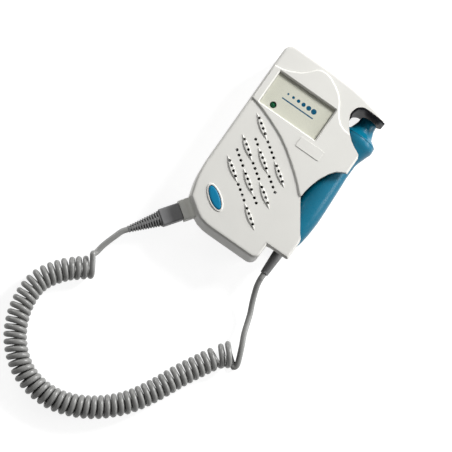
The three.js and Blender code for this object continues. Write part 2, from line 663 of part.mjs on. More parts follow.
// Back shell
const backRings = [
  ...roundedRings(0, housing.backRoundWide, housing.backRoundDeep, 0, -1).reverse(),
  { points: outlineAt(0), z: housing.parting },
];

function doorRoom(grow) {
  const half = doorWidth / 2 + grow;
  const plateRoom = block(
    battery.x - half, battery.x + half, doorBottom - grow, housing.length, -overrun, doorThick + grow,
  );
  const lips = block(
    battery.x - half - door.lip, battery.x + half + door.lip, doorBottom + door.lip - grow, housing.length,
    doorThick, doorThick + door.lipThick + grow,
  );
  const end = block(
    battery.x - half, battery.x + half, halfLength - housing.backRoundWide, housing.length, -overrun,
    housing.backRoundDeep + grow,
  );
  return { plateRoom, lips, end };
}

function backShell() {
  const innerRings = [
    ...roundedRings(
      housing.wall, housing.backRoundWide, housing.backRoundDeep - housing.wall, housing.wall, -1,
    ).reverse(),
    { points: outlineAt(housing.wall), z: housing.parting + overrun },
  ];
  const hollow = cavityIn(innerRings, housing.wall, housing.parting + overrun);
  const posts = boardScrewPlaces.map(
    ([x, y]) => pillar(x, y, boardPost.radius, housing.wall / 2, dopplerBoard.bottom),
  );
  const postHoles = boardScrewPlaces.map(
    ([x, y]) => pillar(x, y, boardPost.hole, boardPost.foot, dopplerBoard.bottom + overrun, boardPost.sides),
  );
  const body = loft(backRings);
  const heads = caseScrewPlaces.map(
    ([x, y]) => pillar(x, y, caseScrew.counterbore, -overrun, caseScrew.seat),
  );
  const room = doorRoom(gap);
  const fittings = join(...posts, ...screwPosts(housing.wall / 2, housing.parting)).intersect(body);
  return cut(
    join(cut(body, hollow), fittings), topCut, bayRoom, channelRoom, socketNotch, backStep,
    room.plateRoom, room.lips, room.end,
    ...postHoles, ...heads, ...screwHoles(caseScrew.seat - gap, housing.parting + overrun),
  );
}

function batteryDoor() {
  const room = doorRoom(0);
  const skin = loft(backRings);
  const innerRings = roundedRings(
    housing.wall, housing.backRoundWide, housing.backRoundDeep - housing.wall, housing.wall, -1,
  ).reverse();
  const hollow = loft([...innerRings, { points: outlineAt(housing.wall), z: housing.parting }]);
  const shellPart = skin.intersect(join(room.plateRoom, room.end)).subtract(hollow);
  const lipDepth = doorThick + door.lipThick;
  const tongues = [-1, 1].map((side) => {
    const inner = battery.x + side * (doorWidth / 2 - door.lip);
    const outer = battery.x + side * (doorWidth / 2 + door.lip);
    return block(
      Math.min(inner, outer), Math.max(inner, outer), doorBottom + door.lip + gap, tongueEnd, doorThick + gap,
      lipDepth,
    );
  });
  const rails = [-1, 1].map((side) => {
    const inner = battery.x + side * (doorWidth / 2 - door.lip);
    const outer = battery.x + (side * doorWidth) / 2;
    return block(
      Math.min(inner, outer), Math.max(inner, outer), doorBottom + door.lip + gap, tongueEnd,
      doorThick / 2, lipDepth,
    );
  });
  const grips = [];
  for (let i = 0; i < door.gripCount; i += 1) {
    const y = doorBottom + door.gripPitch * (i + 2);
    const half = doorWidth / 4;
    grips.push(block(battery.x - half, battery.x + half, y, y + door.grip, -overrun, door.grip / 2));
  }
  return cut(join(shellPart, ...tongues, ...rails), ...grips);
}
const tongueEnd = halfLength - housing.backRoundWide - housing.wall - overrun;

// Linings of the cut-out and of the holster
function hookLining() {
  const outer = offsetPath(hookCurve, hookLiner.seat);
  const inner = offsetPath(hookCurve, hookLiner.seat + hookLiner.thick);
  const band = prism([...outer, ...inner.reverse()], 2 * gap, housing.depth - hookLiner.recess);
  const end = hookCurve[0];
  const wedge = toGeometry(prism([
    new THREE.Vector2(end.x - hookLiner.cutWidth, 0), new THREE.Vector2(end.x + overrun, 0),
    new THREE.Vector2(end.x + overrun, hookLiner.cutHeight),
  ], -housing.width, housing.width)).rotateX(Math.PI / 2);
  return cut(band, toSolid(wedge.translate(0, end.y, 0)));
}

// An open path moved to its left by a distance
function offsetPath(points, distance) {
  return points.map((point, i) => {
    const before = points[Math.max(i - 1, 0)];
    const after = points[Math.min(i + 1, points.length - 1)];
    const normal = new THREE.Vector2(before.y - after.y, after.x - before.x).normalize();
    return point.clone().addScaledVector(normal, distance);
  });
}

function holsterLining() {
  const bottomY = stepY + gap;
  const outer = channel(pocket.liner - gap, bottomY, pocketTop, pocketRight);
  const inner = channel(0, bottomY - overrun, pocketTop + overrun, pocketRight + overrun);
  return cut(outer, inner, scallop, backStep);
}

// Window, lamp and name plate
const cardTop = recessFloor + card.thick;
const lampTop = recessFloor + lamp.rise;
function windowCard() {
  const { x: centreX, y: centreY, width, height } = recess;
  const floor = recessFloor;
  const sheet = centredBlock(centreX, centreY, width - 2 * card.fit, height - 2 * card.fit, floor, cardTop);
  return cut(sheet, pillar(lamp.x, lamp.y, lamp.radius + lamp.hole, floor - overrun, cardTop + overrun));
}

function windowLens() {
  const { x: centreX, y: centreY, width, height } = recess;
  const edge = roundedRectangle(centreX, centreY, width - 2 * card.fit, height - 2 * card.fit, card.fit, 2);
  const top = cardTop + lens.thick;
  return loft([
    { points: edge, z: cardTop }, { points: edge, z: top - card.fit },
    { points: inset(edge, card.fit), z: top },
  ]);
}

function statusLamp() {
  const { radius, base, baseHeight } = lamp;
  const top = lampTop;
  return turned([
    [0, lampBoardTop], [base, lampBoardTop], [base, lampBoardTop + baseHeight],
    [radius, lampBoardTop + baseHeight],
    [radius, top - radius / 2], [radius * lampShoulderShare, top - radius / 5], [0, top],
  ], lamp.sides, lamp.x, lamp.y);
}
const lampShoulderShare = 0.7;

function namePlate() {
  const edge = roundedRectangle(plate.x, plate.y, plate.width, plate.height, plate.corner);
  return loft([
    { points: edge, z: plateauTop }, { points: inset(edge, plate.thick / 2), z: plateauTop + plate.thick },
  ]);
}

// Button and its switch
const stemBottom = switchBoardTop + tact.height + tact.plungerLength / 2;
function powerButton() {
  const top = housing.depth + button.proud;
  const edge = (distance) => oval(
    button.x, button.y, button.length - 2 * distance, button.width - 2 * distance, -slope, button.sides,
  );
  const cap = loft([
    { points: edge(0), z: ceiling - button.flangeThick / 2 }, { points: edge(0), z: top - button.proud },
    { points: edge(button.proud / 2), z: top - button.proud / 4 }, { points: edge(2 * button.proud), z: top },
  ]);
  const flange = prism(edge(-button.flange), ceiling - gap - button.flangeThick, ceiling - gap);
  const stem = pillar(button.x, button.y, button.stem, stemBottom + gap, ceiling - gap, postSides);
  return join(cap, flange, stem);
}

function buttonSwitch() {
  const { width, height, bore } = tact;
  const top = switchBoardTop + height;
  const body = centredBlock(button.x, button.y, width, width, switchBoardTop, top);
  const hole = pillar(
    button.x, button.y, bore, switchBoardTop + tact.plunger / 2, top + overrun, postSides,
  );
  return cut(body, hole);
}

function switchPlunger() {
  return pillar(button.x, button.y, tact.plunger, stemBottom - tact.plungerLength, stemBottom, postSides);
}

function switchBoardPlate() {
  const { width, height, thick } = switchBoard;
  const top = switchBoardTop;
  const half = [width / 2, height / 2];
  const middle = new THREE.Vector2(button.x, button.y);
  const corners = [[-1, -1], [1, -1], [1, 1], [-1, 1]].map(([sx, sy]) => (
    new THREE.Vector2(sx * half[0], sy * half[1]).rotateAround(new THREE.Vector2(), -slope).add(middle)
  ));
  return prism(corners, top - thick, top);
}

// Speaker
const speakerTop = ceiling - speaker.gasket;
const basketBottom = speakerTop - speaker.depth;
function speakerFrame() {
  const { radius, ringThick, basketRadius, windowRadius, sheet, surround } = speaker;
  const foot = basketBottom + ringThick;
  return turned([
    [windowRadius, basketBottom], [basketRadius, basketBottom],
    [radius - surround / 2, speakerTop - ringThick],
    [radius, speakerTop - ringThick], [radius, speakerTop], [radius - surround, speakerTop],
    [radius - surround, speakerTop - sheet], [basketRadius - sheet, foot], [windowRadius, foot],
    [windowRadius, basketBottom],
  ], speaker.sides, speaker.x, speakerY);
}

function speakerCone() {
  const { domeRadius, coneSheet } = speaker;
  const rim = speaker.radius - speaker.coneInset;
  const domeTop = speakerTop - speaker.domeDrop;
  const coneBottom = speakerTop - speaker.coneDrop;
  return turned([
    [0, domeTop - coneSheet], [domeRadius, coneBottom], [rim, speakerTop - 2 * coneSheet],
    [rim, speakerTop - coneSheet],
    [domeRadius + coneSheet / 2, coneBottom + coneSheet], [0, domeTop],
  ], speaker.sides, speaker.x, speakerY);
}

function speakerMagnet() {
  const { magnetRadius, poleRadius } = speaker;
  const magnetBottom = dopplerTop + speaker.boardGap;
  const poleTop = basketBottom + speaker.poleRise;
  const plateTop = basketBottom - gap;
  return turned([
    [0, magnetBottom], [magnetRadius - gap, magnetBottom], [magnetRadius, magnetBottom + gap],
    [magnetRadius, plateTop], [poleRadius, plateTop], [poleRadius, poleTop], [0, poleTop],
  ], speaker.sides, speaker.x, speakerY);
}

function speakerGasket() {
  const { radius, gasketWidth } = speaker;
  return turned([
    [radius - gasketWidth, speakerTop], [radius, speakerTop], [radius, ceiling],
    [radius - gasketWidth, ceiling],
    [radius - gasketWidth, speakerTop],
  ], speaker.sides, speaker.x, speakerY);
}

// Battery and its snap connector
const batteryMiddle = battery.bottom + battery.height / 2;
const terminalX = (side) => battery.x + (side * battery.terminalSpan) / 2;

function alongY(x, z, radius, y0, y1, sides) {
  const geometry = new THREE.CylinderGeometry(radius, radius, y1 - y0, sides);
  return toSolid(geometry.translate(x, (y0 + y1) / 2, z));
}

function nineVolt() {
  const { x, width, height, length, edge, terminal, smallTerminal, largeTerminal } = battery;
  const section = roundedRectangle(0, 0, width, height, edge, 2);
  const can = toGeometry(prism(section, 0, length)).rotateX(-Math.PI / 2);
  const body = toSolid(can.translate(x, batteryStart, batteryMiddle));
  const reach = [batteryStart - terminal, batteryStart + terminal];
  return join(
    body, alongY(terminalX(-1), batteryMiddle, smallTerminal, ...reach, battery.smallSides),
    alongY(terminalX(1), batteryMiddle, largeTerminal, ...reach, battery.largeSides),
  );
}

function snapConnector() {
  const { width, height, thick } = snap;
  const top = batteryStart - gap;
  const pad = block(
    battery.x - width / 2, battery.x + width / 2, top - thick, top, batteryMiddle - height / 2,
    batteryMiddle + height / 2,
  );
  const reach = [batteryStart - battery.terminal - gap, batteryStart + overrun];
  return cut(
    pad, alongY(terminalX(-1), batteryMiddle, battery.smallTerminal + gap, ...reach, battery.smallSides),
    alongY(terminalX(1), batteryMiddle, battery.largeTerminal + 2 * gap, ...reach, battery.largeSides),
  );
}

// Boards and what sits on them
function lampBoardPlate() {
  const { left, right, low, end } = lampBoardEdges;
  return block(left, right, low, end, lampBoardBottom, lampBoardTop);
}

function dopplerPlate() {
  const { bottom, chamferX, chamferY } = dopplerBoard;
  const corners = [
    [boardLeft + chamferX, boardLow], [boardRight, boardLow], [boardRight, boardEnd], [boardLeft, boardEnd],
    [boardLeft, boardLow + chamferY],
  ].map(([x, y]) => new THREE.Vector2(x, y));
  const holes = boardScrewPlaces.map(
    ([x, y]) => pillar(x, y, boardPost.hole, bottom - overrun, dopplerTop + overrun, boardPost.sides),
  );
  return cut(prism(corners, bottom, dopplerTop), ...holes);
}

function screwSolid(x, y, { head, headHeight, shank, length, headSides, shankSides }, seatZ, direction) {
  const shankSpan = direction > 0
    ? [seatZ - headHeight / 2, seatZ + length] : [seatZ - length, seatZ + headHeight / 2];
  const headSpan = direction > 0 ? [seatZ - headHeight, seatZ] : [seatZ, seatZ + headHeight];
  const slotSpan = direction > 0
    ? [headSpan[0] - overrun, seatZ - headHeight / 2] : [seatZ + headHeight / 2, headSpan[1] + overrun];
  const slots = [
    centredBlock(x, y, head, head / 5, ...slotSpan), centredBlock(x, y, head / 5, head, ...slotSpan),
  ];
  const body = pillar(x, y, shank, ...shankSpan, shankSides);
  return cut(join(body, pillar(x, y, head, ...headSpan, headSides)), ...slots);
}

function canOnBoard() {
  const { width, height, depth, sheet } = shieldCan;
  const outer = centredBlock(canX, canY, width, height, dopplerTop, dopplerTop + depth);
  const room = centredBlock(
    canX, canY, width - 2 * sheet, height - 2 * sheet, dopplerTop - overrun, dopplerTop + depth - sheet,
  );
  return cut(outer, room);
}

// Socket and plug
function socketBody() {
  const { width, height, proud, inner, cavityWidth, cavityHeight, cavityFloor, round } = socket;
  const shell = socketForm(width, height, -inner, proud, round);
  const flange = socketForm(
    socket.flangeWidth, socket.flangeHeight, -flangeNear - socket.flange, -flangeNear, round,
  );
  const room = socketForm(cavityWidth, cavityHeight, -cavityFloor, proud + overrun, round);
  return onPlugAxis(cut(join(shell, flange), room));
}

function socketContacts() {
  const { base, pin, pins, pitch, rowRise, reach } = contact;
  const floor = -socket.cavityFloor + gap;
  const plateForm = socketForm(
    socket.cavityWidth - 2 * gap, socket.cavityHeight - 2 * gap, floor, floor + base, socket.round,
  );
  const rods = [-1, 1].flatMap((side) => Array.from({ length: pins }, (_, i) => {
    const across = (i - (pins - 1) / 2) * pitch;
    return centredBlock(across, side * rowRise, pin, pin, floor + base / 2, floor + reach);
  }));
  return onPlugAxis(join(plateForm, ...rods));
}

const plugStart = socket.proud + plug.standOff;
const plugEnd = plugStart + plug.length;
function plugBody() {
  const { width, height, length, noseLength, round, hollowWidth, hollowHeight, hollowDepth } = plug;
  const grip = roundedRectangle(0, 0, width, height, round);
  const body = loft([
    { points: inset(grip, round / 2), z: plugStart }, { points: grip, z: plugStart + round / 2 },
    { points: grip, z: plugStart + length - round / 2 }, { points: inset(grip, round / 2), z: plugEnd },
  ]);
  const noseEnd = plugStart - noseLength;
  const nose = socketForm(
    socket.cavityWidth - 2 * gap, socket.cavityHeight - 2 * gap, noseEnd, plugStart + round, socket.round,
  );
  const room = centredBlock(0, 0, hollowWidth, hollowHeight, noseEnd - overrun, noseEnd + hollowDepth);
  return onPlugAxis(cut(join(body, nose), room));
}

function plugContacts() {
  const { noseLength, hollowDepth, tongueWidth, tongueThick, tongueLength } = plug;
  const floor = plugStart - noseLength + hollowDepth - gap;
  return onPlugAxis(centredBlock(0, 0, tongueWidth, tongueThick, floor - tongueLength, floor));
}

function plugStrainRelief() {
  const { start, end, length, ribs, plainTip, groove, flat, sides } = plugStrain;
  const from = plugEnd + gap;
  const profile = [[0, 0]];
  const pitch = (length - plainTip) / ribs;
  for (let i = 0; i < ribs; i += 1) {
    const radius = start + ((end - start) * i) / ribs;
    const z = i * pitch;
    profile.push([radius, z], [radius, z + pitch / 2]);
    profile.push([radius - groove, z + pitch / 2], [radius - groove, z + pitch]);
  }
  profile.push([end, length - plainTip], [end, length], [0, length]);
  const form = toGeometry(turned(profile, sides)).scale(1, flat, 1).translate(0, 0, from);
  return onPlugAxis(toSolid(form));
}

// Probe
const probeOuter = probeStationShares.map(
  ([along, size]) => [size * probe.collar, probe.tipY - along * probeLength],
);

const room = probeOuter.filter(([, y]) => y < probe.tipY - probe.tipWall && y > probe.endY + probe.endWall)
  .map(([r, y]) => [r - probe.wall, y]);
const [roomEndRadius, roomEnd] = room[room.length - 1];

function probeShell(side) {
  const outer = turnedOnProbe([[0, probe.endY], ...[...probeOuter].reverse(), [0, probe.tipY]]);
  const hollow = turnedOnProbe([[0, roomEnd], ...[...room].reverse(), [0, room[0][1]]]);
  const mouth = turnedOnProbe([
    [0, room[0][1] - overrun], [probe.faceRadius, room[0][1] - overrun],
    [probe.faceRadius, probe.tipY + overrun],
    [0, probe.tipY + overrun],
  ]);
  const neckRadius = probeStrain.neck + gap;
  const neckTop = roomEnd + overrun;
  const neck = turnedOnProbe([
    [0, probe.endY - overrun], [neckRadius, probe.endY - overrun], [neckRadius, neckTop], [0, neckTop],
  ]);
  const halfSpace = block(
    probe.axisX - housing.width, probe.axisX + housing.width, -housing.length, housing.length,
    Math.min(probe.axisZ, probe.axisZ + side * housing.width),
    Math.max(probe.axisZ, probe.axisZ + side * housing.width),
  );
  return cut(outer, hollow, mouth, neck).intersect(halfSpace);
}

const faceBack = probe.tipY - probe.capDepth;
function transducerFace() {
  const radius = probe.faceRadius - gap;
  return turnedOnProbe([
    [0, faceBack], [radius, faceBack], [radius, probe.tipY], [radius / 2, probe.tipY + transducer.dome / 2],
    [0, probe.tipY + transducer.dome],
  ]);
}

function crystal(side) {
  const { radius, bond, split } = transducer;
  const front = faceBack - bond;
  const back = front - transducer.crystal;
  const disc = turnedOnProbe([[0, back], [radius, back], [radius, front], [0, front]]);
  const [low, high] = side < 0 ? [-radius * 2, -split / 2] : [split / 2, radius * 2];
  return disc.intersect(block(
    probe.axisX + low, probe.axisX + high, -housing.length, housing.length, 0, housing.depth,
  ));
}

function crystalBacking() {
  const { radius, crystal: thick, bond, backing } = transducer;
  const front = faceBack - 2 * bond - thick;
  return turnedOnProbe([[0, front - backing], [radius, front - backing], [radius, front], [0, front]]);
}

function probeBoardPlate() {
  const { clear, length, thick, fromTip } = probeBoard;
  const width = 2 * (probe.waistShare * probe.collar - probe.wall - clear);
  const centreY = probe.tipY - fromTip;
  return centredBlock(probe.axisX, centreY, width, length, probe.axisZ - thick / 2, probe.axisZ + thick / 2);
}

function probeStrainRelief() {
  const { radius, tip, length, flange, neck } = probeStrain;
  const start = probe.endY - gap;
  const inner = roomEnd + gap;
  const flangeRadius = roomEndRadius - gap;
  return turnedOnProbe([
    [0, start - length], [tip, start - length], [radius, start], [neck, start], [neck, inner],
    [flangeRadius, inner], [flangeRadius, inner + flange], [0, inner + flange],
  ], 12);
}

// The curly cord, one unbroken tube along a helix round its axis
const up = new THREE.Vector3(0, 0, 1);
const axisCurve = new THREE.CatmullRomCurve3(
  coilAxis.map(([x, y]) => new THREE.Vector3(x, y, 0)), false, 'centripetal',
);
const axisLength = axisCurve.getLength();
const totalTurns = coil.curls + (coil.endTurn - coil.startTurn) / 360;

function ease(value, from, to) {
  const t = Math.min(Math.max((value - from) / (to - from), 0), 1);
  return t * t * (3 - 2 * t);
}

// Close turns at both ends, what is left of the axis spread over the turns between
const spread = axisLength - coil.lateGap - coil.pitch * totalTurns;
function coilPoint(turns) {
  const radius = coil.radius + coil.firstGrow * (1 - ease(turns, 0, coil.growTo));
  const late = coil.lateGap * ease(turns, coil.gapFrom, coil.gapTo);
  const along = coil.pitch * turns + late + spread * ease(turns, coil.wideFrom, totalTurns);
  const share = Math.min(Math.max(along / axisLength, 0), 1);
  const centre = axisCurve.getPointAt(share);
  const heading = axisCurve.getTangentAt(share);
  const side = new THREE.Vector3(heading.y, -heading.x, 0);
  const angle = THREE.MathUtils.degToRad(coil.startTurn) + turns * Math.PI * 2;
  const height = wire / 2 + radius * (1 + Math.sin(angle));
  return centre.addScaledVector(side, radius * Math.cos(angle)).addScaledVector(up, height);
}

// The coil starts level on the table and runs straight on at its end
function coilCentres() {
  const count = Math.round(totalTurns * coil.steps);
  const points = Array.from({ length: count + 1 }, (_, i) => coilPoint((i / count) * totalTurns));
  const start = points[0].clone().add(points[0].clone().sub(points[1]).setZ(0).setLength(wire));
  const last = points[count];
  const end = last.clone().add(last.clone().sub(points[count - 1]).setLength(wire));
  return [start, ...points, end];
}

// A tube through its own centres, with a section carried along without twist
function tube(centres, radius, sides) {
  const tangents = centres.map((p, i) => {
    const before = centres[Math.max(i - 1, 0)];
    const after = centres[Math.min(i + 1, centres.length - 1)];
    return after.clone().sub(before).normalize();
  });
  let normal = new THREE.Vector3().crossVectors(tangents[0], up).normalize();
  const positions = [];
  centres.forEach((centre, i) => {
    normal.addScaledVector(tangents[i], -normal.dot(tangents[i])).normalize();
    const across = new THREE.Vector3().crossVectors(tangents[i], normal);
    for (let k = 0; k < sides; k += 1) {
      const angle = (k / sides) * Math.PI * 2;
      const point = centre.clone().addScaledVector(normal, radius * Math.cos(angle))
        .addScaledVector(across, radius * Math.sin(angle));
      positions.push(point.x, point.y, point.z);
    }
    normal = normal.clone();
  });
  const index = [];
  for (let r = 0; r < centres.length - 1; r += 1) {
    for (let k = 0; k < sides; k += 1) {
      const j = (k + 1) % sides;
      const [a, b, c, d] = [r * sides + k, r * sides + j, (r + 1) * sides + j, (r + 1) * sides + k];
      index.push(a, b, c, a, c, d);
    }
  }
  const last = (centres.length - 1) * sides;
  for (let k = 1; k < sides - 1; k += 1) {
    index.push(0, k + 1, k, last, last + k, last + k + 1);
  }
  const geometry = new THREE.BufferGeometry();
  geometry.setAttribute('position', new THREE.BufferAttribute(new Float32Array(positions), 3));
  geometry.setIndex(index);
  return geometry;
}

function leastSelfGap(geometry, sides, apart) {
  const { array } = geometry.attributes.position;
  const count = array.length / 3;
  let least = Infinity;
  for (let i = 0; i < count; i += 1) {
    for (let j = i + apart * sides; j < count; j += 1) {
      const distance = Math.hypot(
        array[3 * i] - array[3 * j], array[3 * i + 1] - array[3 * j + 1], array[3 * i + 2] - array[3 * j + 2],
      );
      least = Math.min(least, distance);
    }
  }
  return least;
}

// A straight lead: an extruded section along a smooth route that ends square to what it meets
function leadTube(points, steps) {
  const section = new THREE.Shape(
    Array.from({ length: lead.sides }, (_, k) => {
      const angle = (k / lead.sides) * Math.PI * 2;
      return new THREE.Vector2((wire / 2) * Math.cos(angle), (wire / 2) * Math.sin(angle));
    }),
  );
  const route = new THREE.CatmullRomCurve3(points, false, 'centripetal');
  return new THREE.ExtrudeGeometry(section, { steps, bevelEnabled: false, extrudePath: route });
}

const vector = ([x, y, z]) => new THREE.Vector3(x, y, z);
const centres = coilCentres();
const coilTube = tube(centres, wire / 2, coil.sides);
const selfGap = leastSelfGap(coilTube, coil.sides, coil.steps - 2);
console.log('least gap of the curly cord to itself', selfGap.toFixed(2));

// The point just off an end of the coil's tube, and one a wire's thickness further along
function beyond(end, before, distance) {
  return end.clone().add(end.clone().sub(before).setLength(distance));
}

function probeLeadTube() {
  const y = probe.endY - 2 * gap - probeStrain.length;
  const exit = new THREE.Vector3(probe.axisX, y, probe.axisZ);
  const straight = new THREE.Vector3(probe.axisX, y - wire, probe.axisZ);
  const [first, second] = centres;
  return leadTube(
    [
      exit, straight, ...probeLeadRoute.map(vector),
      beyond(first, second, wire / 2 + gap), beyond(first, second, gap),
    ],
    lead.probeSteps,
  );
}

const strainEnd = plugEnd + gap + plugStrain.length;
function alongPlug(distance) {
  const place = seatCentre.clone().addScaledVector(plugAxis, distance);
  return new THREE.Vector3(place.x, place.y, housing.parting);
}

function plugLeadTube() {
  const last = centres[centres.length - 1];
  const before = centres[centres.length - 2];
  return leadTube(
    [alongPlug(strainEnd + gap), alongPlug(strainEnd + gap + wire), ...plugLeadRoute.map(vector),
      beyond(last, before, wire + gap), beyond(last, before, gap)],
    lead.plugSteps,
  );
}

// Assembly
const doppler = new THREE.Group();
const inside = new THREE.Group();
const probeGroup = new THREE.Group();
const plugGroup = new THREE.Group();
const cordGroup = new THREE.Group();
doppler.add(inside, probeGroup, plugGroup, cordGroup);

piece('front_shell', frontShell(), finishes.shell, doppler);
piece('back_shell', backShell(), finishes.shell, doppler);
piece('battery_door', batteryDoor(), finishes.shell, doppler);
piece('hook_liner', hookLining(), finishes.charcoal, doppler);
piece('holster_liner', holsterLining(), finishes.charcoal, doppler);
piece('window_card', windowCard(), finishes.card, doppler);
piece('window_lens', windowLens(), finishes.lens, doppler);
piece('status_lamp', statusLamp(), finishes.lamp, doppler);
piece('name_plate', namePlate(), finishes.shell, doppler);
piece('power_button', powerButton(), finishes.button, doppler);
caseScrewPlaces.forEach(([x, y], i) => {
  piece(`case_screw_${i + 1}`, screwSolid(x, y, caseScrew, caseScrew.seat, 1), finishes.steel, doppler);
});

piece('switch_plunger', switchPlunger(), finishes.chip, inside);
piece('button_switch', buttonSwitch(), finishes.chip, inside);
piece('switch_board', switchBoardPlate(), finishes.board, inside);
piece('lamp_board', lampBoardPlate(), finishes.board, inside);
piece('speaker_frame', speakerFrame(), finishes.tin, inside);
piece('speaker_cone', speakerCone(), finishes.paper, inside);
piece('speaker_magnet', speakerMagnet(), finishes.magnet, inside);
piece('speaker_gasket', speakerGasket(), finishes.foam, inside);
piece('battery', nineVolt(), finishes.cell, inside);
piece('battery_snap', snapConnector(), finishes.chip, inside);
piece('doppler_board', dopplerPlate(), finishes.board, inside);
boardScrewPlaces.forEach(([x, y], i) => {
  piece(`board_screw_${i + 1}`, screwSolid(x, y, boardScrew, dopplerTop, -1), finishes.steel, inside);
});
piece('shield_can', canOnBoard(), finishes.tin, inside);
piece('processor_chip', centredBlock(
  processor.x, processor.y, processor.size, processor.size, dopplerTop, dopplerTop + processor.thick,
), finishes.chip, inside);
piece('amplifier_chip', centredBlock(
  amplifier.x, amplifier.y, amplifier.width, amplifier.height, dopplerTop, dopplerTop + amplifier.thick,
), finishes.chip, inside);
capacitorPlaces.forEach(([x, y], i) => {
  const can = pillar(x, y, capacitor.radius, dopplerTop, dopplerTop + capacitor.height, capacitor.sides);
  piece(`capacitor_${i + 1}`, can, finishes.tin, inside);
});
piece('probe_socket', socketBody(), finishes.boss, inside);
piece('socket_contacts', socketContacts(), finishes.brass, inside);

piece('probe_front_half', probeShell(1), finishes.probe, probeGroup);
piece('probe_back_half', probeShell(-1), finishes.probe, probeGroup);
piece('transducer_face', transducerFace(), finishes.faceGrey, probeGroup);
piece('sending_crystal', crystal(-1), finishes.ceramic, probeGroup);
piece('receiving_crystal', crystal(1), finishes.ceramic, probeGroup);
piece('crystal_backing', crystalBacking(), finishes.chip, probeGroup);
piece('probe_board', probeBoardPlate(), finishes.board, probeGroup);
piece('probe_strain_relief', probeStrainRelief(), finishes.plug, probeGroup);

piece('plug_body', plugBody(), finishes.plug, plugGroup);
piece('plug_contacts', plugContacts(), finishes.brass, plugGroup);
piece('plug_strain_relief', plugStrainRelief(), finishes.plug, plugGroup);

piece('probe_lead', probeLeadTube(), finishes.wire, cordGroup);
piece('curly_cord', coilTube, finishes.wire, cordGroup);
piece('plug_lead', plugLeadTube(), finishes.wire, cordGroup);

export default doppler;
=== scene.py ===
"""A handheld vascular doppler: a pale two-part housing, a teal pencil probe, a curly cord and a plug.

Lengths are in metres where a class doesn't say otherwise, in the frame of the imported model: +Z is up from
the table and +Y is the window end.
"""

